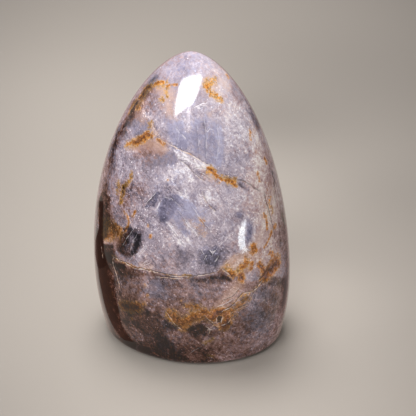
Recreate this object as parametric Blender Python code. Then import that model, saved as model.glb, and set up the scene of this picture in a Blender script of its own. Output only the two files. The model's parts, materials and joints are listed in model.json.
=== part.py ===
"""A free-standing polished quartz stone, in metres with +Z up.

It is one solid: an upright, egg-like form that is widest a quarter of the way up, draws in to a
blunt tip, and is ground flat at the foot, where it rests. Its section is a slightly squared oval.
The origin is at the middle of its bounding box, on the surface that it stands on.
"""
import math

import bmesh
import bpy
from mathutils import Vector

# Driving dimensions of the stone
HEIGHT = 0.1230
HALF_WIDTH = 0.0407
HALF_DEPTH = 0.0318
WIDEST_HEIGHT = 0.0285
FOOT_EDGE_RADIUS = 0.0030

# The foot's share of the widest section, before its edge is rounded
FOOT_SHARE = 0.91

# The profile above the widest level is (1 - s ** SHOULDER_POWER) ** TIP_POWER, s running from 0 to 1
SHOULDER_POWER = 2.0
TIP_POWER = 0.605

# The section is an oval whose coordinates are raised to this power: 2 is a plain ellipse
SECTION_POWER = 2.05

# The oval is turned about the upright axis, and the axis bows to one side and leans back
SECTION_TURN = math.radians(-12.0)
SIDE_BOW = 0.0009
LEAN_BACK = 0.0015

# Slow unevenness left by grinding the stone by hand: lobes round the section and their twist up it
SWELL_DEPTH = 0.0003
SWELL_WAVES = (
    {"share": 0.6, "lobes": 3, "phase": 0.7, "twist": 1.6 * math.pi},
    {"share": 0.4, "lobes": 5, "phase": 2.1, "twist": -2.2 * math.pi},
)

# How finely the solid is cut into faces
RING_POINTS = 72
RING_COUNT = 50

# Surface of the stone
STONE_COLOUR = (0.33, 0.27, 0.27, 1.0)
STONE_ROUGHNESS = 0.12
STONE_IOR = 1.54
SHARP_ANGLE = math.radians(40.0)


def clear_scene():
    """Remove every object, so that the file holds only the stone."""
    for obj in list(bpy.data.objects):
        bpy.data.objects.remove(obj, do_unlink=True)


def girth(height):
    """Share of the widest section at a height: a parabola below the widest level, a dome above it."""
    if height < WIDEST_HEIGHT:
        drop = (WIDEST_HEIGHT - height) / WIDEST_HEIGHT
        return 1.0 - (1.0 - FOOT_SHARE) * drop ** 2
    rise = (height - WIDEST_HEIGHT) / (HEIGHT - WIDEST_HEIGHT)
    return max(0.0, 1.0 - rise ** SHOULDER_POWER) ** TIP_POWER


def edge_inset(height):
    """How far the rounded foot edge draws in from the side: a quarter circle."""
    if height >= FOOT_EDGE_RADIUS:
        return 0.0
    below = FOOT_EDGE_RADIUS - height
    return FOOT_EDGE_RADIUS - math.sqrt(FOOT_EDGE_RADIUS ** 2 - below ** 2)


def swell(angle, height):
    """Unevenness of the side in metres, fading with the section towards the tip."""
    level = height / HEIGHT
    waves = sum(
        wave["share"] * math.sin(wave["lobes"] * angle + wave["phase"] + wave["twist"] * level)
        for wave in SWELL_WAVES
    )
    return SWELL_DEPTH * girth(height) * waves


def side_radius(angle, height):
    """Distance from the axis to the side: the radius of the squared oval at that angle and height."""
    half_width = HALF_WIDTH * girth(height) - edge_inset(height)
    half_depth = HALF_DEPTH * girth(height) - edge_inset(height)
    across = abs(math.cos(angle) / half_width) ** SECTION_POWER
    along = abs(math.sin(angle) / half_depth) ** SECTION_POWER
    return (across + along) ** (-1.0 / SECTION_POWER) + swell(angle, height)


def axis_point(height):
    """The axis of the stone at a height: bowed to -X in the middle, leaning to +Y at the tip."""
    level = height / HEIGHT
    return Vector((-4.0 * SIDE_BOW * level * (1.0 - level), LEAN_BACK * level ** 2, height))


def side_point(angle, height):
    """A point of the side surface."""
    radius = side_radius(angle, height)
    turned = angle + SECTION_TURN
    return axis_point(height) + Vector((radius * math.cos(turned), radius * math.sin(turned), 0.0))


def ring_height(index):
    """Height of a ring of points: the rings crowd towards the foot's edge and towards the tip."""
    return HEIGHT * (0.5 - 0.5 * math.cos(math.pi * index / RING_COUNT))


def add_ring(mesh, height):
    """Add one closed ring of points to the mesh and return its edges."""
    ring = bmesh.ops.create_circle(mesh, cap_ends=False, segments=RING_POINTS, radius=HALF_WIDTH)
    for index, vertex in enumerate(ring["verts"]):
        vertex.co = side_point(2.0 * math.pi * index / RING_POINTS, height)
    return sorted({edge for vertex in ring["verts"] for edge in vertex.link_edges}, key=hash)


def close_ring(mesh, edges, centre):
    """Close a ring with a fan of triangles that meet at a centre."""
    cap = bmesh.ops.contextual_create(mesh, geom=edges)["faces"]
    fan = bmesh.ops.poke(mesh, faces=cap)
    fan["verts"][0].co = centre


def centre_on_origin(mesh):
    """Shift the mesh sideways until its bounding box is centred on the upright axis."""
    for axis in (0, 1):
        low = min(vertex.co[axis] for vertex in mesh.verts)
        high = max(vertex.co[axis] for vertex in mesh.verts)
        shift = Vector((0.0, 0.0, 0.0))
        shift[axis] = -0.5 * (low + high)
        bmesh.ops.translate(mesh, verts=mesh.verts, vec=shift)


def stone_material():
    """Clouded grey-pink quartz with a polish."""
    material = bpy.data.materials.new("polished_quartz")
    material.use_nodes = True
    shader = material.node_tree.nodes["Principled BSDF"]
    shader.inputs["Base Color"].default_value = STONE_COLOUR
    shader.inputs["Roughness"].default_value = STONE_ROUGHNESS
    shader.inputs["Metallic"].default_value = 0.0
    shader.inputs["IOR"].default_value = STONE_IOR
    material.diffuse_color = STONE_COLOUR
    return material


def build_stone():
    """Bridge the rings from the foot to the tip, close both ends, and make the object."""
    mesh = bmesh.new()
    rings = [add_ring(mesh, ring_height(index)) for index in range(RING_COUNT)]
    for lower, upper in zip(rings, rings[1:]):
        bmesh.ops.bridge_loops(mesh, edges=lower + upper)
    close_ring(mesh, rings[0], axis_point(0.0))
    close_ring(mesh, rings[-1], axis_point(HEIGHT))
    bmesh.ops.recalc_face_normals(mesh, faces=mesh.faces)
    centre_on_origin(mesh)

    data = bpy.data.meshes.new("stone")
    mesh.to_mesh(data)
    mesh.free()
    data.shade_smooth()
    data.set_sharp_from_angle(angle=SHARP_ANGLE)
    data.materials.append(stone_material())
    stone = bpy.data.objects.new("stone", data)
    bpy.context.collection.objects.link(stone)
    return stone


clear_scene()
build_stone()
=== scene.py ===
# %% [markdown]
# # A polished quartz stone that stands on its own foot
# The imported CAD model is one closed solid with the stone's true shape, made of flat faces. It is
# loaded first, and it fixes every size: the visible stone is worked out again as a finer surface,
# and it has to stay inside the box of the solid that it stands for.

import itertools
import json
import math

import bpy
import numpy as np
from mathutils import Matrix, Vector

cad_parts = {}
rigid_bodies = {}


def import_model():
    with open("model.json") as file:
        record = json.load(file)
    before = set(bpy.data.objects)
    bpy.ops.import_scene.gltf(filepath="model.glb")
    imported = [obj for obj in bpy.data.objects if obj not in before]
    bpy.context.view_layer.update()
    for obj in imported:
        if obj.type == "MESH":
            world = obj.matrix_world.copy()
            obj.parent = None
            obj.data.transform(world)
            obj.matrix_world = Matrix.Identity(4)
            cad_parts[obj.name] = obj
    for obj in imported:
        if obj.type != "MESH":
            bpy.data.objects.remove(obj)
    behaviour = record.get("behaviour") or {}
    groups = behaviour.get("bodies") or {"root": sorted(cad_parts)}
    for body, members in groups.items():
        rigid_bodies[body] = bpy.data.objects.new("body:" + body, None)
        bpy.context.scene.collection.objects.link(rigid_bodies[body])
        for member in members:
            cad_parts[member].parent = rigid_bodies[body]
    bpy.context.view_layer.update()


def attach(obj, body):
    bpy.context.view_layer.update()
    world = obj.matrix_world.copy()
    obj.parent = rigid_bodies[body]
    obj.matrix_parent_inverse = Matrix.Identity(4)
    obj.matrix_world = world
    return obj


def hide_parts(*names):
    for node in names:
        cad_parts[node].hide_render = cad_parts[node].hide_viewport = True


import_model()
MM = 0.001


# %% [markdown]
# # The stone's shape
# A free-standing stone like this is ground by hand on a wheel from a rough block. Its side is one
# smooth skin: an oval section that swells a little above the foot and then closes to a blunt tip.
# It could be sculpted from a sphere, but the solid was made from a law, so the same law with the
# same numbers is used here on a much finer grid. All lengths of the law are in millimetres.

# %% Driving dimensions, the same as the solid's
HEIGHT = 123.0
HALF_WIDTH = 40.7
HALF_DEPTH = 31.8
WIDEST_HEIGHT = 28.5
FOOT_EDGE_RADIUS = 3.0
FOOT_SHARE = 0.91
SHOULDER_POWER = 2.0
TIP_POWER = 0.605
SECTION_POWER = 2.05
SECTION_TURN = math.radians(-12.0)
SIDE_BOW = 0.9
LEAN_BACK = 1.5
SWELL_DEPTH = 0.3
SWELL_WAVES = (
    {"share": 0.6, "lobes": 3, "phase": 0.7, "twist": 1.6 * math.pi},
    {"share": 0.4, "lobes": 5, "phase": 2.1, "twist": -2.2 * math.pi},
)
LEAST_HALF_WIDTH = 1e-4
print("height, in mm:", HEIGHT, "widest at:", WIDEST_HEIGHT)


# %% The law of the side
def girth(height):
    """Share of the widest section: 1 - (1 - foot share) * drop^2 below the widest level, and
    (1 - rise^shoulder power)^tip power above it."""
    drop = np.clip((WIDEST_HEIGHT - height) / WIDEST_HEIGHT, 0.0, 1.0)
    rise = np.clip((height - WIDEST_HEIGHT) / (HEIGHT - WIDEST_HEIGHT), 0.0, 1.0)
    return (1.0 - (1.0 - FOOT_SHARE) * drop ** 2) * (1.0 - rise ** SHOULDER_POWER) ** TIP_POWER


def edge_inset(height):
    """Quarter circle of the foot's edge: r - sqrt(r^2 - (r - height)^2) below r, and 0 above."""
    below = np.clip(FOOT_EDGE_RADIUS - height, 0.0, FOOT_EDGE_RADIUS)
    return FOOT_EDGE_RADIUS - np.sqrt(FOOT_EDGE_RADIUS ** 2 - below ** 2)


def side_point(angle, height):
    """Point of the side at an angle round the axis and a height, both arrays, in millimetres.
    Radius = (|cos a / half width|^n + |sin a / half depth|^n)^(-1/n) + swell, from a bowed axis."""
    share = girth(height)
    half_width = np.maximum(HALF_WIDTH * share - edge_inset(height), LEAST_HALF_WIDTH)
    half_depth = np.maximum(HALF_DEPTH * share - edge_inset(height), LEAST_HALF_WIDTH)
    across = np.abs(np.cos(angle) / half_width) ** SECTION_POWER
    along = np.abs(np.sin(angle) / half_depth) ** SECTION_POWER
    radius = (across + along) ** (-1.0 / SECTION_POWER)
    level = height / HEIGHT
    for wave in SWELL_WAVES:
        turn = wave["lobes"] * angle + wave["phase"] + wave["twist"] * level
        radius = radius + SWELL_DEPTH * wave["share"] * share * np.sin(turn)
    x = radius * np.cos(angle + SECTION_TURN) - 4.0 * SIDE_BOW * level * (1.0 - level)
    y = radius * np.sin(angle + SECTION_TURN) + LEAN_BACK * level ** 2
    return np.stack([x, y, height + 0.0 * angle], axis=-1)


print("a point of the widest section, in mm:", np.round(side_point(0.0, WIDEST_HEIGHT), 2))

# %% [markdown]
# # The grid of the skin
# The grid has columns round the stone and rows up it. The columns stand closer together on the
# front, where the markings are drawn most carefully. The first rows are the flat foot, the others
# the side, and a single point closes the grid at each end. The skin is drawn in by a thousandth of
# its width, so that it stays inside the solid's box.

# %% Grid of the skin
COLUMNS = 380
SIDE_ROWS = 246
FOOT_ROWS = 10
FRONT_CROWDING = 0.22
FRONT_ANGLE = math.radians(-90.0) - SECTION_TURN
PROFILE_SAMPLES = 4001
SKIN_INSET = np.array([0.9990, 0.9990, 1.0])
LEVEL_ONLY = np.array([1.0, 1.0, 0.0])


def column_angles():
    """Angles round the axis: even steps, drawn towards the front by a sine of the step."""
    even = np.arange(COLUMNS) * (2.0 * math.pi / COLUMNS)
    return FRONT_ANGLE + even - 2.0 * FRONT_CROWDING * np.sin(even)


def row_heights():
    """Heights of the side rows, spaced evenly along the profile's own length."""
    fine = HEIGHT * (0.5 - 0.5 * np.cos(np.linspace(0.0, math.pi, PROFILE_SAMPLES)))
    profile = HALF_WIDTH * girth(fine) - edge_inset(fine)
    length = np.concatenate([[0.0], np.cumsum(np.hypot(np.diff(fine), np.diff(profile)))])
    return np.interp(np.linspace(0.0, length[-1], SIDE_ROWS + 1)[:-1], length, fine)


side = side_point(column_angles()[None, :], row_heights()[:, None])
box_middle = 0.5 * (side.min(axis=(0, 1)) + side.max(axis=(0, 1))) * LEVEL_ONLY
side = (side - box_middle) * SKIN_INSET
foot_middle = side[0].mean(axis=0)
foot_shares = np.arange(1, FOOT_ROWS)[:, None, None] / FOOT_ROWS
foot = foot_middle + foot_shares * (side[0] - foot_middle)
grid = np.concatenate([foot, side], axis=0)
tip = ([0.0, LEAN_BACK, HEIGHT] - box_middle) * SKIN_INSET


def grid_normals(places):
    """Outward unit vectors: the step to the next column crossed with the step to the next row."""
    across = np.roll(places, -1, axis=1) - np.roll(places, 1, axis=1)
    upward = np.gradient(places, axis=0)
    normal = np.cross(across, upward)
    return normal / np.linalg.norm(normal, axis=-1, keepdims=True)


def with_ends(inner, first, last):
    """The grid's values as one list, between the value of the foot's middle and that of the tip."""
    return np.concatenate([[first], inner.reshape(-1, 3), [last]])


skin = with_ends(grid, foot_middle, tip)
normals = with_ends(grid_normals(grid), (0.0, 0.0, -1.0), (0.0, 0.0, 1.0))
print("rows and columns:", grid.shape[:2], "points of the skin:", len(skin))

# %% [markdown]
# # The camera
# The camera looks down on the stone by about thirty degrees through a long lens, from far enough
# away that its foot shows as a shallow curve. It comes first because the markings of the front are
# placed with it: a mark is written down as the pixels of the picture that it runs through, and the
# same camera carries those pixels onto the skin.

# %% Camera
PICTURE_SIDE = 416.0
CAMERA_LENS = 100.0
CAMERA_SENSOR = 36.0
CAMERA_ELEVATION = math.radians(29.0)
CAMERA_DISTANCE = 465.2
CAMERA_TARGET = np.array([6.65, 0.0, 56.6])


def new_object(name, data):
    """An object that shows the data, linked to the scene."""
    thing = bpy.data.objects.new(name, data)
    bpy.context.scene.collection.objects.link(thing)
    return thing


away = np.array([0.0, -math.cos(CAMERA_ELEVATION), math.sin(CAMERA_ELEVATION)])
upward = np.array([0.0, math.sin(CAMERA_ELEVATION), math.cos(CAMERA_ELEVATION)])
camera_place = CAMERA_TARGET + CAMERA_DISTANCE * away
camera_data = bpy.data.cameras.new("camera")
camera_data.lens = CAMERA_LENS
camera_data.sensor_width = CAMERA_SENSOR
camera = new_object("camera", camera_data)
camera.location = camera_place * MM
camera.rotation_euler = (math.radians(90.0) - CAMERA_ELEVATION, 0.0, 0.0)
bpy.context.scene.camera = camera
print("the camera's place, in mm:", np.round(camera_place, 1))


# %% From a pixel of the picture to a point of the skin
def picture_pixels(places):
    """Pixel of each place: the picture's middle + focal length in pixels * offset / depth."""
    offset = places - camera_place
    depth = -offset @ away
    focal = CAMERA_LENS / CAMERA_SENSOR * PICTURE_SIDE
    column = 0.5 * PICTURE_SIDE + focal * offset[:, 0] / depth
    row = 0.5 * PICTURE_SIDE - focal * (offset @ upward) / depth
    return np.stack([column, row], axis=-1)


class SkinView:
    """The skin as a camera sees it: the points that face it, and the way from a pixel to a point."""

    NEIGHBOURS = 4
    LEAST_GAP = 1e-3

    def __init__(self, turn):
        """A turn of 1 is the picture's own camera, and -1 the same one carried round behind."""
        self.turn = np.array([turn, turn, 1.0])
        towards = camera_place * self.turn - skin
        self.openness = np.einsum("ij,ij->i", normals, towards) / np.linalg.norm(towards, axis=1)
        self.seen = np.flatnonzero(self.openness > 0.0)
        self.pixels = picture_pixels(skin[self.seen] * self.turn)

    def nearest(self, pixel):
        """Indices of the points that show closest to a pixel, and weights of 1 / distance^2."""
        gap = np.sum((self.pixels - np.asarray(pixel, float)) ** 2, axis=1)
        closest = np.argpartition(gap, self.NEIGHBOURS)[:self.NEIGHBOURS]
        weight = 1.0 / (gap[closest] + self.LEAST_GAP)
        return self.seen[closest], weight / weight.sum()

    def place(self, pixel):
        """Point of the skin that shows at a pixel."""
        closest, weight = self.nearest(pixel)
        return weight @ skin[closest]

    def normal(self, pixel):
        """Outward unit vector of the skin at a pixel."""
        closest, weight = self.nearest(pixel)
        mean = weight @ normals[closest]
        return mean / np.linalg.norm(mean)


front = SkinView(1.0)
behind = SkinView(-1.0)
print("points that face the camera:", len(front.seen), "and the one behind:", len(behind.seen))

# %% [markdown]
# # Fields of the skin
# A mark in stone has no drawn edge. So each mark is worked out as a field: a number at every point
# of the skin that is large on the mark and fades with the distance from it. The points are first
# pushed about by a little smooth noise, so that the marks wander as real ones do. The material
# later cuts the fields with finer noise, which gives edges much sharper than the grid.

# %% Smooth noise at the points of the skin
NOISE_SEED = 7
NOISE_COUNT = 4096
NOISE_VALUES = np.random.default_rng(NOISE_SEED).uniform(-1.0, 1.0, NOISE_COUNT)
CORNER_STEPS = np.array([73856093, 19349663, 83492791])
SEED_STEP = 31.7


def smooth_step(share):
    """A share t from 0 to 1, eased at both ends: 3 t^2 - 2 t^3."""
    return share * share * (3.0 - 2.0 * share)


def smooth_noise(places, size, seed):
    """Values from -1 to 1: random numbers at the corners of cubes of the given size, blended inside
    each cube by the smooth step of the place's share of the cube along each edge."""
    cell = places / size + SEED_STEP * seed
    corner_place = np.floor(cell).astype(np.int64)
    share = smooth_step(cell - corner_place)
    total = np.zeros(len(places))
    for corner in itertools.product((0, 1), repeat=3):
        index = ((corner_place + corner) @ CORNER_STEPS) % len(NOISE_VALUES)
        total += np.prod(np.where(corner, share, 1.0 - share), axis=1) * NOISE_VALUES[index]
    return total


def wander(places, size, reach, seed):
    """The places moved by smooth noise of its own along each axis, up to a reach."""
    shift = [smooth_noise(places, size, seed + axis) for axis in range(3)]
    return places + reach * np.stack(shift, axis=-1)


# Size of the waves and reach in millimetres, and seed
WANDERS = {"slow": (5.0, 0.4, 11), "quick": (1.7, 0.25, 17)}
wandered = skin
for size, reach, seed in WANDERS.values():
    wandered = wander(wandered, size, reach, seed)
print("the marks wander by up to, in mm:", round(float(np.abs(wandered - skin).max()), 2))


# %% Distance to a line on the skin
POINT_LENGTH = 1e-3


def offset_from(places, start, run):
    """Share t of the run where each place is nearest to it, (place - start) . run / run^2 kept from
    0 to 1, and the place's offset from there."""
    along = np.clip((places - start) @ run / (run @ run), 0.0, 1.0)
    return along, places - start - along[:, None] * run


def near_line(line, reach):
    """Points of the skin within reach of a line, each with its distance to the line, its side (the
    sign of (normal x run) . offset) and the share of the line's length where it is nearest."""
    line = np.asarray(line, float)
    if len(line) == 1:
        line = np.concatenate([line, line + POINT_LENGTH])
    above = np.all(wandered > line.min(axis=0) - reach, axis=1)
    below = np.all(wandered < line.max(axis=0) + reach, axis=1)
    near = np.flatnonzero(above & below)
    places = wandered[near]
    lengths = np.linalg.norm(np.diff(line, axis=0), axis=1)
    before = np.concatenate([[0.0], np.cumsum(lengths)])
    gap = np.full(len(near), np.inf)
    hand = np.zeros(len(near))
    share = np.zeros(len(near))
    for index, (start, end) in enumerate(zip(line, line[1:])):
        run = end - start
        along, offset = offset_from(places, start, run)
        distance = np.linalg.norm(offset, axis=1)
        closer = distance < gap
        gap = np.where(closer, distance, gap)
        turn = np.einsum("ij,ij->i", np.cross(normals[near], run), offset)
        hand = np.where(closer, np.sign(turn), hand)
        share = np.where(closer, (before[index] + along * lengths[index]) / before[-1], share)
    return near, gap, hand, share


print("points close to the tip:", len(near_line([tip], 5.0)[0]))

# %% Fields of shades, of soft patches and of stains
SOFT_REACH = 2.6
STAIN_REACH = 1.6


def shade_field(marks):
    """Broad changes that add up: the sum of change * exp(-(distance / width)^2)."""
    total = np.zeros(len(skin))
    for width, change, line in marks:
        near, gap, _, _ = near_line(line, SOFT_REACH * width)
        total[near] += change * np.exp(-((gap / width) ** 2))
    return total


def soft_field(marks):
    """Patches with soft edges: 1 - the product of 1 - strength * exp(-(distance / width)^2)."""
    clear = np.ones(len(skin))
    for width, strength, line in marks:
        near, gap, _, _ = near_line(line, SOFT_REACH * width)
        clear[near] *= 1.0 - strength * np.exp(-((gap / width) ** 2))
    return 1.0 - clear


def stain_field(marks):
    """Stains, thickest in the middle: the largest strength * (1 - distance / (reach * width))."""
    field = np.zeros(len(skin))
    for width, strength, line in marks:
        near, gap, _, _ = near_line(line, STAIN_REACH * width)
        thickness = strength * np.clip(1.0 - gap / (STAIN_REACH * width), 0.0, 1.0)
        field[near] = np.maximum(field[near], thickness)
    return field


# %% Fields of thin lines
LINE_REACH = 1.5
LINE_TAPER = 0.12
LINE_FADE = 1.6


def line_fields(lines):
    """Thin lines: the signed distance to the nearest one in millimetres, and its pale and dark
    strengths. These fade at each end by sqrt(share / taper), and beside the line by
    fade * (1 - distance / reach), both at most 1."""
    nearest = np.full(len(skin), LINE_REACH)
    fields = {
        "side": np.full(len(skin), LINE_REACH),
        "pale": np.zeros(len(skin)),
        "dark": np.zeros(len(skin)),
    }
    for pale, dark, line in lines:
        near, gap, hand, share = near_line(line, LINE_REACH)
        taper = np.clip(np.minimum(share, 1.0 - share) / LINE_TAPER, 0.0, 1.0)
        fade = np.sqrt(taper) * np.clip(LINE_FADE * (1.0 - gap / LINE_REACH), 0.0, 1.0)
        closer = gap < nearest[near]
        chosen = near[closer]
        nearest[chosen] = gap[closer]
        fields["side"][chosen] = (hand * gap)[closer]
        fields["pale"][chosen] = (pale * fade)[closer]
        fields["dark"][chosen] = (dark * fade)[closer]
    return fields


# %% Fields of flat panes with sharp edges
PANE_STRENGTH = 0.9
PATCH_REACH = 0.3
PATCH_SIZE = 2.5
PATCH_SEED = 23


def pane_masks(view, panes):
    """For each pane, its changes, its points of the skin and a mask: a smooth step of the signed
    distance to its outline in the view, positive inside, over its edge's softness in pixels."""
    pixels = picture_pixels(wandered[view.seen] * view.turn)
    patchy = PANE_STRENGTH + PATCH_REACH * smooth_noise(skin[view.seen], PATCH_SIZE, PATCH_SEED)
    for tone, warmth, clearness, softness, *outline in panes:
        corners = np.asarray(outline, float)
        gap = np.full(len(pixels), np.inf)
        inside = np.zeros(len(pixels), bool)
        for start, end in zip(corners, np.roll(corners, -1, axis=0)):
            run = end - start
            _, offset = offset_from(pixels, start, run)
            gap = np.minimum(gap, np.linalg.norm(offset, axis=1))
            crossed = (start[1] > pixels[:, 1]) != (end[1] > pixels[:, 1])
            slope = run[0] / run[1] if run[1] else 0.0
            inside ^= crossed & (pixels[:, 0] < start[0] + (pixels[:, 1] - start[1]) * slope)
        depth = np.where(inside, gap, -gap)
        share = np.clip(0.5 + 0.5 * depth / softness, 0.0, 1.0)
        mask = smooth_step(share) * patchy
        yield tone, warmth, clearness, view.seen, mask


# %% [markdown]
# # Light and shade in the body
# The quartz isn't one even grey. Light that enters the milky side comes out of the other, so one
# flank glows and the other is nearly black; that glow and that shade are painted into the tone, with
# painted shade along both edges and towards the foot. Those broad changes are written first, among
# the stone's own lighter and darker places: each is a half width in millimetres, a change of tone
# (where 0 is black and 1 is white), and a few pixels.

# %% Broad shades of the front: the stone's own tone, with painted light and painted shade
SHADES = {
    "tip": (12, -0.01, (190, 58)),
    "crown": (8, 0.12, (212, 70), (222, 78)),
    "peach of the crown": (4, 0.05, (164, 96), (169, 106)),
    # Below the gloss and the cross are partly a painted glow of the gloss and its arm.
    "below the gloss": (4, 0.07, (190, 112), (190, 124)),
    "cross": (1.8, 0.08, (189, 110), (189, 125)),
    "right of the gloss": (6, 0.08, (214, 104), (218, 114)),
    "upper right": (6, 0.09, (236, 106), (242, 124)),
    # Painted light: the right cheek, the right flank and the right limb glow with light that comes
    # through the stone.
    "right cheek": (5, 0.13, (256, 140), (260, 158), (256, 180)),
    "right flank": (4.5, 0.14, (259, 200), (266, 216)),
    "right limb": (2.5, 0.14, (274, 190), (276, 206)),
    "shoulder": (4.5, -0.14, (150, 100), (146, 108)),
    "sparkle": (3, 0.1, (146, 116)),
    "window's foot": (5, -0.07, (212, 148)),
    # Painted shade along the upper left edge: the left rim above and the left cheek.
    "left rim above": (3, -0.34, (150, 84), (136, 106), (124, 130)),
    "left cheek": (3.4, -0.27, (118, 134), (113, 150), (111, 168)),
    "left strip": (2.4, -0.04, (128, 144), (126, 160)),
    "band": (5, 0.06, (165, 180), (184, 172)),
    "under the wedge": (3, -0.05, (148, 146)),
    "wedge": (2, -0.08, (136, 141), (146, 136)),
    "right of the middle": (4, -0.04, (240, 200)),
    "right edge above": (2.6, -0.1, (279, 230), (281, 262)),
    "right edge below": (2.4, 0.1, (282, 296), (280, 310)),
    "under the band": (4, -0.09, (156, 182), (170, 186)),
    "oval": (1.8, 0.1, (207, 193), (209, 199)),
    "middle": (7, 0.04, (196, 194), (226, 196)),
    "left middle": (5, -0.05, (138, 186), (130, 200)),
    # The left edge, left hollow, end of the long crack, left stain's edge, left flank and left flank
    # below are  painted shade and a painted reflection of dark surroundings along the left flank.
    "left edge": (2.6, -0.22, (106, 182), (104, 196)),
    "left hollow": (2.6, -0.33, (107, 203), (107, 213), (105.5, 221)),
    "end of the long crack": (2.6, -0.4, (107, 252), (111, 252.5)),
    "left stain's edge": (2.2, -0.44, (105, 228), (104.5, 236)),
    "river": (3, -0.22, (122, 190)),
    "left flank": (2.2, -0.3, (101.5, 205), (101, 226), (98, 242), (99, 262)),
    "left flank below": (4.5, -0.3, (101, 262), (105, 290), (112, 316)),
    "left stain": (3.4, -0.33, (108, 226), (116, 232)),
    "milk": (5, 0.06, (158, 232), (164, 238)),
    "low in the middle": (4, -0.03, (214, 240)),
    "upper left grey": (3, 0.1, (130, 127)),
    "slate's top": (3, 0, (212, 252)),
    "heart": (5.5, 0.01, (184, 236), (190, 244)),
    "right of the small gloss": (4, 0.06, (255, 226), (260, 240)),
    # Painted shade along the right edge: the right edge, the right edge above and the right rim above.
    "right edge": (3.6, -0.34, (283, 215), (286, 240), (287, 270), (284, 300)),
    "shade below the heart": (4, -0.08, (190, 256), (180, 262)),
    "slate": (4, -0.09, (210, 260), (222, 256)),
    "left window": (4.5, 0.05, (172, 128), (178, 136)),
    "above the long crack": (3.6, -0.01, (148, 263), (170, 266)),
    "left of the crack": (4.4, -0.11, (112, 262), (124, 272)),
    "below the crack": (5, 0.03, (196, 292), (220, 292)),
    # Darker towards the foot: the low left, low middle, foot's middle, foot's left and low right are
    # smoky  quartz and partly painted shade of the lower stone.
    "low left": (7, -0.17, (122, 300), (130, 322)),
    "right low": (5, -0.11, (268, 298), (276, 300)),
    "low middle": (6, -0.27, (150, 322), (160, 338)),
    "notch": (4, -0.14, (197, 331), (204, 334)),
    "foot's middle": (5, -0.27, (180, 354), (205, 352)),
    "low patch": (5, -0.13, (184, 318), (200, 322)),
    "pocket": (3, -0.17, (130, 307)),
    "right rim above": (2.4, -0.12, (252, 108), (258, 124)),
    "foot's left": (6, -0.24, (128, 342), (160, 354)),
    "low right": (7, -0.18, (240, 326), (262, 318)),
    "foot's right": (5, -0.03, (222, 352), (242, 348)),
    "pit of the foot": (3.5, -0.1, (220, 320)),
    "pit": (3.2, -0.1, (268, 272), (274, 264)),
}
print("broad shades of the front:", len(SHADES))

# %% Broad changes of warmth, from blue at -1 to brown at 1
WARMTHS = {
    "crown's right": (7, 0.35, (220, 74), (236, 96)),
    "left limb": (3, 0.5, (144, 88), (122, 130), (107, 170), (100, 200)),
    "left rim above": (3.4, 0.75, (146, 94), (134, 112)),
    "peach of the crown": (5, 0.25, (160, 92), (170, 106)),
    "upper left window": (6, -0.35, (172, 130), (182, 140)),
    "great window": (8, -0.3, (206, 130), (212, 152)),
    "left cheek": (4, -0.05, (116, 140), (113, 158)),
    "under the wedge": (4, 0.85, (140, 148), (156, 148)),
    "band": (5, -0.25, (176, 174), (160, 184)),
    "left middle": (6, 0.22, (142, 184), (132, 200)),
    "left edge": (4, 0.35, (107, 190)),
    "left hollow": (3.4, 0.9, (106, 202), (108, 216)),
    "end of the long crack": (3, 1, (106, 252), (111, 255)),
    "pit of the foot": (3, 0.7, (218, 316), (224, 320)),
    "pocket": (3, 0.6, (131, 307)),
    "river": (3, 0.45, (124, 184), (121, 198)),
    "middle": (8, -0.1, (200, 190), (190, 236)),
    "fan": (6, -0.5, (166, 206), (180, 210)),
    "right flank": (7, 1, (262, 176), (268, 210), (264, 240)),
    "right cheek": (5, 0.7, (258, 146), (264, 160)),
    "left stain": (5, 0.9, (106, 228), (116, 234)),
    "blue-black patch": (4, -0.2, (131, 243)),
    "slate": (5, -0.4, (206, 258), (214, 256)),
    "shadow of the small gloss": (2.5, -0.6, (249, 226), (247, 240)),
    "above the long crack": (4, 0.3, (146, 262), (172, 266)),
    "leaf": (5, 0.7, (236, 264), (250, 258)),
    "right limb": (4, 1, (275, 196), (280, 232)),
    "pit": (5, 1.1, (266, 268), (274, 264)),
    "low window": (4.5, -0.35, (154, 286), (158, 296)),
    "below the crack": (7, -0.15, (176, 284), (196, 288)),
    "right low": (6, -0.45, (262, 298), (266, 322)),
    "right edge": (3, 0.5, (284, 220), (287, 260)),
    "slope": (4, 0.35, (236, 290), (226, 304)),
    "low left": (6, 0.3, (120, 304), (140, 320)),
    "low patch": (6, 0.35, (182, 318), (200, 314)),
    "foot": (6, 0.2, (150, 348), (220, 354)),
}
print("changes of warmth on the front:", len(WARMTHS))
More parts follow.
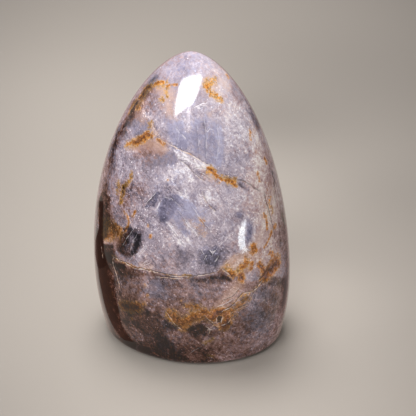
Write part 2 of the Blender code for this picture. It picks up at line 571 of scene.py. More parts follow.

# %% [markdown]
# # Panes
# Inside the quartz lie flat fracture planes, and each shows as a pane with a crisp edge, a little
# darker, lighter, bluer or clearer than its surroundings. Soft patches can't give that edge, so a
# pane is an outline in pixels with a change of tone, of warmth and of clearness and the softness
# of its edge in pixels. Two panes along the left edge are no fracture planes but painted shade and a
# painted reflection of dark surroundings.

# %% Panes of the front
PANES = {
    "great window": (0, -0.15, 0.8, 2.2, (191, 122), (206, 115), (221, 122), (225, 150), (221, 167),
        (212, 166), (203, 160), (194, 152)),
    "window's floor": (-0.03, -0.1, 0.4, 2.4, (174, 136), (190, 132), (196, 134), (197, 155), (188, 150),
        (176, 145)),
    "pale column": (0.04, -0.1, 0.4, 1.4, (214, 132), (221, 128), (224, 152), (221, 167), (215, 163)),
    "left window": (-0.02, -0.25, 0.6, 1.8, (164, 119), (183, 121), (188, 139), (185, 150), (170, 142)),
    "dim corner": (-0.08, 0, 0.5, 2, (198, 122), (206, 120), (207, 130), (200, 131)),
    "second window": (-0.09, 0, 0.8, 1.2, (142, 155), (152, 151), (170, 151), (178, 157), (175, 165.5),
        (148, 166)),
    "red under the wedge": (-0.04, 0.5, 0.6, 1.6, (133, 147), (146, 142), (161, 142), (167, 147),
        (158, 153), (146, 154), (137, 151)),
    # Painted shade and a painted reflection of dark surroundings along the left edge: the dark edge and
    # the  dark edge below.
    "dark edge": (-0.5, 1, 0, 2, (99, 197), (101, 195), (103.5, 205), (103, 222), (102.5, 240),
        (104, 254), (106, 262), (96, 266), (92, 252), (93, 238), (99, 228), (99, 210)),
    "dark edge below": (-0.17, 0.4, 0, 3, (92, 254), (104, 256), (113, 270), (115, 300), (122, 328),
        (136, 345), (118, 346), (98, 315), (90, 280)),
    "upper left grey": (-0.09, -0.2, 0.5, 1.3, (125, 123), (139, 118), (149, 121), (152, 130), (143, 133),
        (133, 136)),
    "blade": (-0.18, -0.5, 0.3, 0.8, (144, 207), (150, 198), (156, 191), (162, 191), (158, 198),
        (153, 205.5), (147, 208.5)),
    "pale strip": (0.1, -0.2, 0.2, 0.9, (156, 205), (160, 201), (160, 216), (155, 215)),
    "fan": (-0.13, -0.35, 0.4, 1.6, (158, 208), (162, 200), (169, 195.5), (178, 195), (180, 202),
        (177, 209), (172, 216), (167, 222), (160, 223)),
    "deep fan": (-0.07, -0.3, 0.2, 1.8, (158, 208), (163, 204), (167, 210), (166, 218), (161, 223),
        (158, 217)),
    "clear heart": (0.03, -0.25, 0.5, 3, (174, 196), (188, 197), (202, 208), (214, 220), (210, 232),
        (196, 224), (182, 224), (172, 216)),
    "blue lobe": (0.03, -0.4, 0.5, 1.4, (184, 202), (193, 205), (199, 213), (195, 216), (186, 212)),
    "mauve floor": (0.01, 0.05, 0.6, 2.4, (168, 213), (188, 214), (188, 222), (176, 224), (168, 221)),
    "streak one": (0.08, -0.1, -0.2, 0.9, (163, 222), (168, 221), (186, 246), (182, 250)),
    "streak two": (0.12, 0.1, -0.2, 0.9, (186, 221.5), (191, 222), (198, 232), (195, 235)),
    "streak three": (0.06, 0, 0.2, 1.2, (177, 231), (183, 230), (197, 248), (191, 251)),
    "between streaks": (-0.06, -0.3, 0.6, 1.2, (171, 223), (180, 221), (190, 233), (186, 238)),
    "grey below the heart": (-0.11, -0.1, 0.5, 1.8, (176, 249), (188, 252), (189, 263), (176, 265)),
    "slate": (-0.13, -0.1, 0.3, 3.2, (199, 262), (204, 250), (213, 245), (224, 247), (231, 252),
        (226, 262), (214, 270), (200, 273)),
    "slate's blade": (-0.14, -0.2, 0.2, 1.4, (206, 252), (216, 249), (221, 257), (216, 266), (207, 264)),
    "grey of the left": (-0.07, -0.1, 0.4, 1.6, (196, 226), (208, 222), (212, 234), (204, 242),
        (196, 238)),
    "blue-black patch": (-0.37, 0.2, 0.1, 2.4, (123.5, 228), (129, 225.5), (138, 229), (142.5, 235),
        (141, 245), (135, 255), (128, 257), (117.5, 251), (119, 240)),
    "black blade": (-0.22, -0.3, 0, 0.8, (134, 232), (141, 236), (138, 246), (132, 254.5), (129, 254),
        (133, 244)),
    "black blade's mate": (-0.24, 0.2, 0, 0.9, (124, 233), (131, 233), (128, 243), (122, 248)),
    "milk band": (0.05, 0, -0.4, 1.3, (137, 172), (152, 168), (172, 166.5), (187, 166), (197, 173),
        (204, 181), (196, 186), (178, 181), (158, 185), (140, 183)),
    "feathered pane": (0.12, 0.1, -0.3, 1, (173, 149), (184, 151.5), (196, 158), (207, 166), (203, 172),
        (192, 166), (182, 160), (176, 156)),
    "pink below it": (-0.03, 0.6, 0.3, 1.2, (196, 167), (207, 170), (219, 180), (214, 184), (203, 178)),
    "violet sliver": (-0.1, -0.2, 0.6, 1, (196, 170), (206, 171), (209, 174), (200, 175)),
    "leaf": (-0.09, 0.6, 0, 0.8, (222, 268), (229, 261.5), (237, 256), (244, 251.5), (252, 251),
        (257, 257), (256, 264), (250, 271), (243, 277), (236, 281), (231, 278), (226, 273)),
    "grey pane of the leaf": (-0.13, -0.5, 0.4, 1.1, (251, 269), (258, 267), (265, 273), (263, 279),
        (252, 280)),
    "leaf's tip": (0.09, 0.4, 0.2, 0.9, (222, 268), (229, 261), (237, 256), (240, 262), (234, 270),
        (227, 273)),
    "strip right of the window": (0.05, 0.1, 0, 1, (224, 116), (229, 118), (231, 150), (226, 167),
        (225, 150)),
    "slope": (0.06, 0.6, 0.1, 1.6, (231, 280), (244, 282), (258, 281), (253, 291), (243, 294), (236, 302),
        (224, 309), (214, 309), (222, 297), (226, 288)),
    "inside the ridge": (-0.22, 0.1, 0.3, 1, (240, 300), (244, 296), (251, 295), (248, 301), (243, 304)),
    "wedge below the crack": (-0.13, -0.1, 0.2, 1, (188, 279), (205, 278), (218, 275), (226, 276),
        (232, 281), (224, 284), (206, 283)),
    "wedge below its left": (-0.13, 0.1, 0.2, 1.2, (116, 262), (128, 267), (140, 272), (150, 274),
        (140, 278), (124, 276), (114, 270)),
    "right of the ridge": (-0.16, -0.2, 0.2, 1.4, (265, 279), (273, 276), (285, 279), (284, 285),
        (273, 287)),
    "notch": (-0.18, 0, 0.2, 1.1, (187, 330), (192, 326), (200, 324), (208, 328), (207, 334), (202, 343),
        (196, 341), (190, 336)),
    "blue pane of the foot": (-0.09, -0.1, 0.4, 1.6, (163, 320), (176, 328), (172, 334), (160, 330)),
    "low grey pane": (-0.06, -0.3, 0.4, 2, (238, 312), (256, 306), (268, 314), (264, 332), (248, 330)),
    "low brown pane": (-0.06, 0.2, 0.3, 2, (208, 330), (226, 330), (238, 342), (228, 352), (210, 348)),
    "rim strip": (-0.2, -0.1, 0.3, 0.9, (246, 108), (250, 112), (256, 119), (260, 128), (259, 134),
        (254, 124)),
    "crown zone": (-0.11, 0, 0.3, 1.3, (230, 80), (236, 84), (244, 96), (242, 107), (236, 102),
        (232, 92)),
    "grey-violet eye": (-0.07, -0.1, 0.6, 0.9, (247, 154), (251, 151.5), (254.5, 155), (252, 159.5),
        (248, 159)),
    "dim eye": (-0.13, -0.1, 0.6, 0.8, (243.5, 142), (247, 142), (248, 145.5), (244.5, 146.5)),
    "grey leaf": (-0.13, -0.1, 0.4, 1, (237, 180), (244, 181), (251, 186), (250, 193), (242, 190)),
    "shadow of the small gloss": (-0.22, -0.5, 0.4, 1.6, (248, 218), (253, 222), (251, 238), (247, 246),
        (246, 236)),
    "grey above it": (-0.1, -0.3, 0.5, 1.1, (234, 213), (242, 212), (243, 219), (236, 219)),
    "low window": (0.02, -0.25, 0.6, 1.6, (149, 280), (162, 281), (164, 291), (158, 298), (150, 297)),
    "right low window": (-0.02, -0.2, 0.5, 1.8, (262, 292), (274, 290), (276, 304), (266, 306)),
    "tip spot": (-0.12, -0.1, 0.4, 1, (184, 54.5), (188, 55), (187.5, 60), (184.5, 59.5)),
    "shoulder spot": (-0.12, -0.1, 0.4, 1.2, (151, 80), (156, 75), (159, 77), (154, 81)),
    "black bar": (-0.3, 0, 0, 0.8, (102, 243.6), (114, 244), (114.5, 247.6), (102, 247.4)),
    "pale patch over the bar": (0.28, 0.3, 0, 1, (103, 238), (107, 238), (108, 243), (103, 243)),
}
print("panes of the front:", len(PANES))

# %% [markdown]
# # Milky veils and clear windows
# Most of the stone is clouded by countless tiny bubbles and cracks. Where they are dense it is
# milky, and where they are missing one looks into blue-grey depth. A real volume would show this
# best, but it would not leave this program, so veils and windows are soft patches on the skin:
# veils bring feathery texture, and windows take it away.

# %% Milky veils of the front
VEILS = {
    "crown": (7, 0.35, (178, 66), (205, 62)),
    "band under the seam": (3.2, 0.6, (166, 185), (176, 174), (187, 171)),
    "band's left end": (4, 0.3, (142, 176), (158, 184)),
    "dots of the dark patch": (0.5, 1, (126.5, 230)),
    "dot of the dark patch": (0.45, 1, (131, 247.5)),
    "feathers on the seam": (1.6, 0.9, (177, 152), (184, 156), (192, 160), (202, 167)),
    "feathers above the fan": (1.2, 0.8, (176, 192), (181, 194), (186, 197)),
    "streak beside the fan": (1, 0.7, (166, 223), (174, 233), (184, 248)),
    "streak of the middle": (1.3, 0.7, (187, 223), (196, 233)),
    "pale heart": (3.4, 0.4, (178, 238), (188, 243)),
    "pearl blob": (1, 0.8, (219, 129), (224, 131)),
    "hand strokes": (0.5, 0.9, (208, 131.5), (213, 133)),
    "oval": (1.3, 0.7, (207, 194), (208.5, 198)),
    "right cheek": (2.6, 0.2, (256, 150), (262, 162), (259, 178)),
    "right cheek's foot": (2.4, 0.4, (256, 196), (262, 208)),
    "white end of the seam": (0.9, 0.8, (247, 176), (251, 180), (256, 183)),
    "under the seam": (3.4, 0.3, (214, 190), (226, 198), (238, 204)),
    "shoulder sparkle": (1, 0.9, (142, 109), (146, 116), (151, 118)),
    "left dots": (2.4, 0.5, (136, 200), (130, 210)),
    "slope above the ridge": (2.4, 0.4, (238, 286), (229, 298)),
    "left of the low patch": (2.2, 0.3, (160, 300), (148, 303)),
    "low right haze": (3.4, 0.3, (262, 318), (252, 335)),
    "low middle haze": (2.2, 0.4, (170, 338), (176, 347)),
    "fan of the patch": (1, 0.7, (146, 244), (138, 254)),
    "fan above the crack": (1.2, 0.6, (146, 262), (152, 266)),
    "left strip": (1.4, 0.5, (126, 146), (124, 164)),
}
print("veils of the front:", len(VEILS))

# %% Smoky patches of the front, with painted shade along the left edge and the foot
SMOKE_AND_PAINTED_SHADE = {
    # The left flank, left cheek and left cheek's foot are painted shade and a painted reflection of dark
    # surroundings along the left edge.
    "left flank": (1.9, 1, (98, 204), (97, 222), (96, 244), (98, 264), (102, 288)),
    "left cheek": (1.3, 0.5, (117, 134), (114, 148), (112, 163)),
    "left cheek's foot": (1.4, 0.6, (105, 193), (109, 200)),
    "under the blue-black patch": (2, 0.6, (122, 254), (128, 259)),
    "blue-black blade": (0.9, 0.6, (140, 235), (137, 245), (134, 252)),
    "under the long crack": (1.5, 0.8, (106, 256), (114, 264), (124, 268)),
    "under its right end": (1, 0.6, (192, 281), (204, 280), (215, 277), (227, 279)),
    # The dark foot and the foot's right are painted shade along the foot's rounded edge, which faces the
    # floor.
    "dark foot": (3.6, 0.5, (126, 340), (146, 351), (176, 360), (206, 361)),
    "foot's right": (1.6, 0.5, (206, 361), (240, 356), (262, 345), (276, 328)),
    "notch": (1.4, 0.6, (190, 330), (198, 327), (206, 330)),
    "left of the notch": (1.6, 0.5, (166, 324), (174, 330)),
    "low left": (2.4, 0.4, (128, 314), (146, 312), (158, 316)),
    "brown pocket": (1.4, 0.6, (124, 305), (134, 308)),
    "wedge under the leaf": (0.9, 0.7, (222, 275), (230, 280)),
    "crown spots": (0.8, 0.5, (236, 104), (243, 99)),
    "hole of the pit": (0.9, 1, (220, 318), (219.5, 322)),
    "moss behind the gold": (0.9, 0.75, (132, 183), (131, 190)),
    "gap in the wedge": (0.8, 0.5, (129, 116), (135, 118)),
    "core of the grey leaf": (0.6, 0.9, (240, 184), (243, 187)),
    "right flank": (0.8, 0.6, (272, 172), (274, 183), (277, 204)),
    "right flank's foot": (0.9, 0.5, (279, 224), (281, 246)),
    "throat of the pit": (1, 0.8, (262, 276), (267, 271), (270, 265)),
    "low right dark": (1.8, 0.4, (256, 342), (262, 334)),
    "eye of the great window": (0.9, 0.5, (203, 126)),
    "dark of the shoulder": (0.9, 0.6, (136, 104), (131, 113)),
    "grey of the seam's end": (0.9, 0.5, (240, 183), (248, 190)),
}
print("smoky patches of the front:", len(SMOKE_AND_PAINTED_SHADE))

# %% [markdown]
# # Rust, gold and peach
# Water carried iron into the open cracks and left rust there: nearly black where it is thick,
# orange where it is thinner, gold at its edge, and peach where it only tints the milk beside it.
# So a stain is a thickness that falls off from its middle, and a ramp in the material turns the
# thickness into colour.

# %% Rust of the front
RUSTS = {
    "shoulder seam": (1, 0.75, (163, 82), (158, 83), (154, 86), (150, 87)),
    "shoulder seam's foot": (1.2, 0.9, (150, 87), (147, 87.5), (144.5, 90), (143, 94), (140, 98)),
    "shoulder stain": (1.7, 0.5, (143, 96), (141, 102), (138, 107)),
    "shoulder tail": (1, 0.6, (136, 101), (132, 107), (129, 113)),
    "crown dash": (0.7, 0.65, (167, 85.5), (170, 84.5), (176, 84.5)),
    "hook": (0.8, 0.5, (214, 80), (210, 80.5), (207, 84), (203, 86.5)),
    "hook's leg": (0.9, 0.5, (206, 85), (208, 89), (211, 92), (216, 95), (221, 101)),
    "hook's toe": (0.7, 0.5, (207, 90), (209, 96)),
    "crown rim": (0.9, 0.6, (227, 75), (229, 78)),
    "wedge tip": (0.8, 0.8, (128, 143.5), (134, 141.5)),
    "wedge": (1.5, 0.98, (134, 142), (139, 140), (143, 137)),
    "wedge's top": (1.1, 0.9, (142, 136), (146, 134), (152, 135)),
    "wedge's foot": (1.2, 0.55, (140, 143), (148, 138)),
    "seam's joint": (0.7, 0.75, (158, 139), (164, 145)),
    "seam": (0.8, 0.9, (207, 168), (212, 171), (217, 176), (222, 180)),
    "seam's shade": (1.6, 0.3, (208, 172), (214, 177), (220, 182)),
    "seam's end": (0.9, 0.7, (222, 180), (228, 180), (235, 182), (236, 186)),
    "left thread": (0.7, 0.75, (124, 212), (127, 217.5), (129, 222), (127.5, 226), (123, 232),
        (120, 238)),
    "left twig": (0.6, 0.55, (135, 210), (132.5, 216)),
    "left stain": (3, 0.52, (106, 225), (114, 228), (119, 231)),
    "left stain's foot": (2.4, 0.75, (105, 235), (112, 235)),
    "left stain's line": (0.8, 0.75, (116, 224), (120, 229), (118, 236)),
    "long crack's left": (0.7, 0.6, (112, 255), (118, 259.5), (126, 263), (132, 266), (136, 268.5)),
    "long crack's middle": (0.5, 0.5, (138, 268), (146, 269), (152, 270)),
    "long crack's right": (0.5, 0.45, (164, 275), (176, 275), (192, 276)),
    "speck of the veil": (0.7, 0.7, (148, 225.7)),
    "speck under the veil": (0.9, 0.85, (150.4, 236)),
    "gold dot": (1.2, 0.42, (201.5, 219), (203, 222)),
    "tan below it": (2, 0.22, (200, 227), (202, 234)),
    "dot of the milk": (0.5, 0.5, (167.2, 180)),
    "right thread above": (0.8, 0.6, (250, 131), (250.5, 139)),
    "right dash": (0.8, 0.8, (265, 158.5), (266.5, 162.5)),
    "right drop": (0.9, 0.8, (258, 173)),
    "right drop's tail": (0.6, 0.6, (258.5, 175), (259.5, 180)),
    "right thread": (0.8, 0.55, (271, 198), (269.5, 203), (270.5, 208)),
    "right thread's foot": (0.75, 0.7, (264.5, 214), (266, 221), (267, 229)),
    "right fleck": (0.9, 0.7, (275.5, 225), (274, 228)),
    "right string": (0.7, 0.6, (272, 231), (269, 239), (265, 247)),
    "blob under the gloss": (1.8, 0.85, (253, 247), (254, 251)),
    "leaf's spots": (0.9, 0.6, (244, 257), (245, 261)),
    "leaf's knot": (1.3, 0.9, (242, 267), (247, 263)),
    "leaf's corner": (1.4, 0.8, (230, 273), (233, 276)),
    "leaf's foot": (1.4, 0.95, (240, 276), (242, 279)),
    "pit's arm": (1, 1, (259, 264), (263, 268), (266, 273)),
    "pit's root": (1.1, 0.75, (252, 264), (251, 269)),
    "pit": (3.2, 1.15, (267, 274), (272, 269), (276, 263)),
    "pit's horn": (1, 0.75, (270, 252), (274, 256)),
    "pit's rim": (1, 0.75, (279, 258), (278, 264)),
    "low patch": (2.6, 0.8, (171, 315), (178, 320), (185, 324)),
    "low patch's right": (2.7, 0.8, (185, 323), (194, 318), (203, 313)),
    "low patch's top": (1.8, 0.6, (188, 306), (198, 307), (206, 312)),
    "low patch's knot": (1, 0.85, (205, 311), (207, 317)),
    "low patch's tip": (1.2, 0.7, (181, 328), (184, 330)),
    "brown pocket": (2.4, 1, (124, 306), (131, 308), (137, 307)),
    "pocket's lip": (1, 0.6, (137, 304.5), (145, 304)),
    "low dots": (0.7, 0.65, (132, 319)),
    "low dot": (0.7, 0.55, (182, 301)),
    "low twin": (0.8, 0.65, (196.5, 304.5)),
    "pit of the foot": (2.6, 0.95, (213, 318), (216, 313), (222, 312)),
    "pit of the foot's right": (2, 0.9, (226, 316), (228, 322), (224, 327)),
    "foot of the slope": (1.5, 0.6, (229, 311), (239, 308)),
    "red spots": (0.8, 0.6, (145.4, 286)),
    "red spot below": (0.7, 0.6, (148, 296.5)),
    "under the ridge": (2.4, 0.5, (246, 300), (236, 308), (228, 318)),
    "ridge's rust": (0.9, 0.35, (262, 281), (254, 291), (240, 298), (230, 306), (218, 314)),
}
print("rust marks of the front:", len(RUSTS))

# %% Gold of the front
GOLDS = {
    "hook's glow": (1.7, 0.65, (214, 80), (209, 82), (206, 85), (210, 91), (218, 98)),
    "shoulder's glow": (1.8, 0.6, (166, 84), (154, 85), (147, 88), (142, 95)),
    "seam's glow": (1.5, 0.55, (207, 168), (217, 176), (228, 180), (236, 183)),
    "wedge's glow": (1.8, 0.6, (128, 144), (138, 141), (150, 135)),
    "leaf's glow": (1.6, 0.6, (226, 268), (232, 273), (240, 270), (248, 262)),
    "low patch's glow": (2.6, 0.5, (172, 317), (184, 322), (200, 312)),
    "left river": (0.9, 0.8, (131.5, 174), (130, 179), (127.5, 183), (124.5, 186)),
    "left river's foot": (1.1, 0.9, (124, 187), (123.5, 192), (122, 196), (120.5, 201)),
    "left river's arm": (1.3, 0.6, (119.5, 182), (117.5, 187), (117, 191)),
    "crown drip": (1.1, 0.6, (167, 86), (167, 97)),
    "crown drop": (1.5, 0.75, (162.3, 100.6)),
    "shoulder moss": (1.4, 0.3, (134, 105), (131, 112)),
    "cream line's root": (1.2, 0.6, (151, 122), (150, 127)),
    "long crack's bead": (1.1, 0.8, (185.5, 275), (189, 276)),
    "grey leaf's rim": (1.1, 0.6, (236, 178), (237, 184)),
    "seam's gold": (0.9, 0.7, (209, 166.5), (214, 170)),
    "right strand": (1, 0.55, (272, 207), (273, 213)),
    "foot fleck": (1, 0.35, (180, 357)),
    "foot fleck right": (1, 0.35, (213, 357), (208, 355)),
    "low patch's rim": (1.1, 0.6, (166, 313), (171, 320), (176, 325)),
    "under the notch": (1.3, 0.4, (204, 344), (212, 340)),
    "hook's gold": (1, 0.5, (219, 97), (222, 102)),
    "ridge's gold": (0.9, 0.45, (256, 288), (246, 294), (238, 299)),
    "blob's gold": (1, 0.6, (251, 246), (255, 252)),
}
print("gold marks of the front:", len(GOLDS))

# %% Peach of the front
PEACHES = {
    "crown field": (3.6, 0.75, (161, 88), (168, 93), (172, 99)),
    "crown field's foot": (3.2, 0.7, (168, 100), (171, 112)),
    "around the hook": (3, 0.7, (208, 84), (214, 92)),
    "under the wedge": (1.6, 0.9, (130, 146.5), (137, 147)),
    "under the wedge's top": (2.4, 0.75, (144, 142), (154, 144), (163, 148)),
    "leaf's edge": (1.7, 0.95, (224, 268), (231, 262), (238, 257)),
    "leaf": (3, 0.95, (230, 268), (238, 262), (247, 256)),
    "leaf's tail": (2.4, 0.8, (234, 272), (243, 271), (250, 262)),
    "slope": (3, 0.75, (238, 284), (231, 295), (222, 304)),
    "left stain's right": (1.8, 0.75, (119, 233), (116, 240)),
    "left fleck": (1.2, 0.9, (105, 240.5)),
    "beside the hook": (1.4, 0.6, (210, 115)),
    "right flank": (3, 0.45, (270, 184), (274, 204), (270, 236)),
    "right of the small gloss": (2.6, 0.5, (257, 244), (262, 230)),
    "right thread's peach": (2, 0.7, (269, 207), (268, 222)),
    "right thread's field": (1.8, 0.5, (252, 134), (256, 128)),
    "milk's tan": (2, 0.6, (200, 228), (201, 233)),
    "above the long crack": (1.6, 0.55, (142, 265), (152, 267)),
    "bead": (0.9, 0.9, (117, 274)),
    "shoulder": (2.6, 0.5, (138, 112), (144, 121)),
    "upper right": (2.4, 0.5, (222, 82), (228, 88)),
    "cream line's field": (1.4, 0.65, (152, 127), (156, 133)),
    "pit's field": (2.2, 0.65, (256, 258), (262, 262)),
    "seam's field": (1.6, 0.55, (204, 170), (212, 178)),
    "low patch's field": (3.6, 0.5, (176, 316), (196, 312)),
    "low left field": (2, 0.4, (140, 304), (148, 300)),
    "mid pink": (2.6, 0.35, (186, 222), (196, 226)),
}
print("peach marks of the front:", len(PEACHES))

# %% [markdown]
# # Cracks, ridges and feathers
# A healed crack shows as a hair line: pale along its lip, with a dark shadow on the side where the
# crack slants away under the skin. Feathers are the fans of fine white lines where a crack ends.
# The lines come in three sets, so that lines that meet or run close together don't blur.

# %% Cracks of the front, each with the strength of its pale lip and of its dark shadow
CRACKS = {
    "seam": (1, 0.35, (210, 167), (203.6, 162), (196.4, 158), (190.7, 154), (182.5, 151), (172, 145.5),
        (166, 143.5)),
    "long crack": (1, 1, (222, 268), (216, 272), (208, 274.5), (200, 276.5), (188, 275.5), (176, 276),
        (164, 275), (157, 272.5), (151, 270.5), (143, 269.8), (136, 269.5), (126, 263.5), (118, 259.5),
        (111, 254.5)),
    "ridge": (1, 1, (264.5, 278), (257, 288), (253, 292), (243, 294.3), (238.6, 299.3), (235.5, 303),
        (230, 306.5), (224, 310), (218.5, 315)),
    "cream line": (0.9, 0.3, (163, 145), (160.5, 138.5), (158, 133), (155, 129), (151.5, 122.5)),
    "bead line": (0.7, 0.3, (120, 290), (118, 281), (116.5, 274), (113.5, 267), (112.5, 261), (113, 256)),
    "leaf's rim": (0.8, 0.2, (221.5, 268), (227, 262), (235, 255.5), (243, 251)),
    "oval's edge": (0.7, 0.5, (215.5, 212), (210.5, 207), (204.5, 200), (201.5, 191)),
    "low patch's rim": (0.5, 0.5, (184, 331), (176, 325), (169, 317), (165, 311)),
}
UNDER_CRACKS = {
    "shadow of the seam": (0.5, 0.6, (205.7, 181.5), (201, 178.5), (195, 174), (190.5, 168), (184, 163),
        (179, 160)),
    "under the long crack": (0.7, 0.5, (184, 278), (174, 278.2), (164, 278.2), (154.5, 276.5)),
    "ridge's branch": (0.8, 0.6, (256, 290), (251.5, 299), (248, 305), (239, 308.8), (230, 313.5)),
    "olive line": (0.3, 0.7, (260, 192.5), (255, 188), (250, 184.3), (242, 180.5), (237, 180)),
    "leaf's foot": (0.6, 0.8, (233, 278.5), (226, 273), (222, 268.5)),
    "right light line": (0.7, 0.3, (266, 155), (265, 149), (262, 139), (258, 132)),
    "left beads": (0.6, 0.2, (103, 258), (102, 250), (101.5, 246)),
    "right strand": (0.6, 0.6, (276, 204), (274, 192), (273.5, 181)),
    "right stripe one": (0.2, 1, (262, 130), (268, 150), (273, 172), (277, 196)),
    "right stripe two": (0.4, 0.8, (270, 160), (276, 183), (281, 207), (284, 232)),
    "right stripe three": (0.2, 0.8, (264, 190), (268, 205), (272, 222), (276, 240)),
    "right stripe four": (0.5, 0.35, (256, 120), (262, 138), (267, 156)),
    "pit's throat": (0.3, 1, (257, 280), (262, 276), (266, 270), (268, 264)),
    "wedge's lip": (0.6, 0.3, (166, 143), (160, 139), (153, 133.5), (146, 132.5)),
    "pit of the foot": (0.7, 0.9, (218, 325), (216.5, 320), (219, 316), (223, 318), (222, 324)),
    "slope's lip": (0.5, 0.7, (222, 300), (232, 296), (240, 288)),
    "right low line": (0.4, 0.5, (268, 291), (264, 297), (266, 304)),
    "notch crackle one": (0.6, 0.6, (206, 318), (212, 323), (218, 328)),
    "notch crackle two": (0.5, 0.6, (210, 331), (214, 326), (221, 327)),
    "notch crackle three": (0.5, 0.6, (205, 326), (211, 330), (209, 335)),
    "notch crackle four": (0.5, 0.6, (222, 326), (228, 324), (231, 319)),
}
FEATHERS = {
    "double stroke": (1, 0.3, (208, 102.7), (198.5, 104.5), (193.5, 108.5)),
    "double stroke's mate": (0.9, 0.3, (208, 105.5), (201, 107.5), (196, 110)),
    "stroke on the window": (0.9, 0, (214.5, 130), (210, 129.5), (207, 133)),
    "veil line": (0.6, 0.2, (187, 139), (181, 133), (175, 125.5)),
    "blade's edge": (0.8, 0.5, (146, 204), (151, 197), (157, 191)),
    "fan's edge": (0.5, 0.3, (189, 213), (181, 207), (172, 199), (164, 197)),
    "heart line one": (0.7, 0.3, (165, 221), (176, 234), (187, 248)),
    "heart line two": (0.5, 0.2, (172, 222), (182, 233), (192, 246)),
    "heart line three": (0.7, 0.3, (184, 219), (192, 229), (199, 239)),
    "heart line four": (0.4, 0.3, (178, 211), (190, 223), (204, 240)),
    "heart line five": (0.5, 0.2, (190, 206), (201, 218), (212, 233)),
    "pale strip's line": (0.7, 0.2, (157, 216), (156.5, 208), (160, 200)),
    "window line one": (0.35, 0.2, (196, 122), (198, 140), (200, 156)),
    "window line two": (0.3, 0.3, (204, 118), (206, 136), (207, 160)),
    "window line three": (0.4, 0.2, (217, 119), (219, 140), (217, 162)),
    "left window line": (0.3, 0.2, (177, 120), (179, 134), (177, 148)),
    "squiggle": (1, 0.3, (188, 197.5), (184, 197.5), (181, 194), (175, 191)),
    "squiggle's arm": (0.8, 0.1, (185, 197), (184.5, 189)),
    "feather one": (0.9, 0.4, (190, 160), (183, 157.5), (177, 159)),
    "feather two": (0.9, 0.4, (196, 164), (188, 161), (183, 162)),
    "feather three": (0.8, 0.4, (205, 169), (199, 168), (194, 170)),
    "feather four": (0.8, 0.3, (200, 172), (207, 175), (212, 180)),
    "dark patch's stroke": (0.4, 0, (138.5, 232), (133.5, 240), (129, 250)),
    "dark patch's stroke two": (0.3, 0, (134, 229), (128, 236), (123.5, 246)),
    "fan line one": (0.8, 0.2, (146, 244.5), (141, 249), (135.5, 254)),
    "fan line two": (0.7, 0.2, (150, 244), (144, 250), (138, 256)),
    "fan line three": (0.6, 0.1, (133, 254), (131, 258), (129.5, 262)),
    "crack fan one": (0.7, 0.2, (152, 262), (147, 264.5), (143, 267)),
    "crack fan two": (0.7, 0.2, (150, 259), (145, 262.5), (141, 265)),
    "star one": (0.8, 0.4, (210, 250), (214, 255)),
    "star two": (0.7, 0.4, (216, 250), (212, 257)),
    "star three": (0.6, 0.3, (207, 255), (203, 261)),
    "star four": (0.6, 0.3, (219, 256), (215, 262)),
    "star five": (0.6, 0.3, (201, 250), (205, 256)),
    "star six": (0.5, 0.3, (222, 247), (218, 250)),
    "slope line": (0.6, 0.5, (218, 306), (226, 303), (233, 299)),
    "crown line": (0.5, 0.2, (262, 141), (264, 148)),
    "low diagonal": (0.15, 0.3, (208, 341), (199, 348), (188, 355)),
    "gloss hook": (0.9, 0.4, (243, 252), (246, 249), (249, 251)),
}
print("lines of the front:", len(CRACKS) + len(UNDER_CRACKS) + len(FEATHERS))

# %% Sparkle and crackle of the front
SPARKLES = {
    "left dots": (5, 1, (128, 196), (136, 205), (142, 212)),
    "shoulder": (2, 1, (140, 112), (147, 117)),
    "blue-black patch": (2.6, 0.9, (127, 233), (132, 248)),
    "veil": (3, 0.6, (154, 226), (164, 236)),
    "left cheek": (2.6, 0.7, (119, 150), (120, 166)),
    "slate": (3, 0.8, (203, 258), (215, 254)),
    "seam": (2.4, 0.6, (180, 156), (200, 168)),
    "middle": (3, 0.6, (206, 224), (216, 236)),
    "long crack": (2, 0.5, (166, 274), (180, 276)),
    "pit": (2.6, 0.5, (268, 272), (274, 266)),
    "leaf": (3, 0.7, (236, 264), (250, 258)),
    "low patch": (4, 0.6, (180, 318), (220, 318)),
    "left low": (2.6, 0.6, (114, 280), (118, 300)),
}
CRACKLES = {
    "low patch": (3.6, 0.7, (178, 318), (196, 314)),
    "pit of the foot": (3.4, 1, (206, 320), (216, 322), (226, 316)),
    "pit": (3.4, 1, (260, 262), (270, 268), (277, 262)),
    "left stain": (3, 0.8, (106, 228), (116, 234)),
    "hook": (2.2, 0.8, (206, 88), (216, 96)),
    "right flank": (3, 0.8, (266, 185), (268, 205), (273, 225), (270, 245)),
    "right cheek": (2.6, 0.5, (252, 128), (262, 150)),
    "low left": (3, 0.5, (124, 290), (130, 304)),
    "slope": (3, 0.7, (226, 300), (238, 290)),
    "shoulder": (2.4, 0.7, (134, 110), (142, 104)),
    "left river": (2.2, 0.7, (122, 184), (121, 196)),
    "low middle": (3, 0.4, (210, 300), (196, 296)),
    "leaf": (4, 0.9, (232, 268), (246, 262), (256, 256)),
}
print("sparkling places:", len(SPARKLES), "crackled places:", len(CRACKLES))

# %% [markdown]
# # The back of the stone
# The picture doesn't show the back, so its marks are guessed. They have to be of the same kinds and
# as rich as those of the front, so each mark of the front is used once more: it is turned, moved to
# a random place in the view from behind, and kept if the camera in front can't see it there.

# %% Marks of the front, turned and moved to the back
HIDDEN_BELOW = -0.06
TRIES = 60
MOST_GAP = 1.5
BACK_SEED = 41
chance = np.random.default_rng(BACK_SEED)


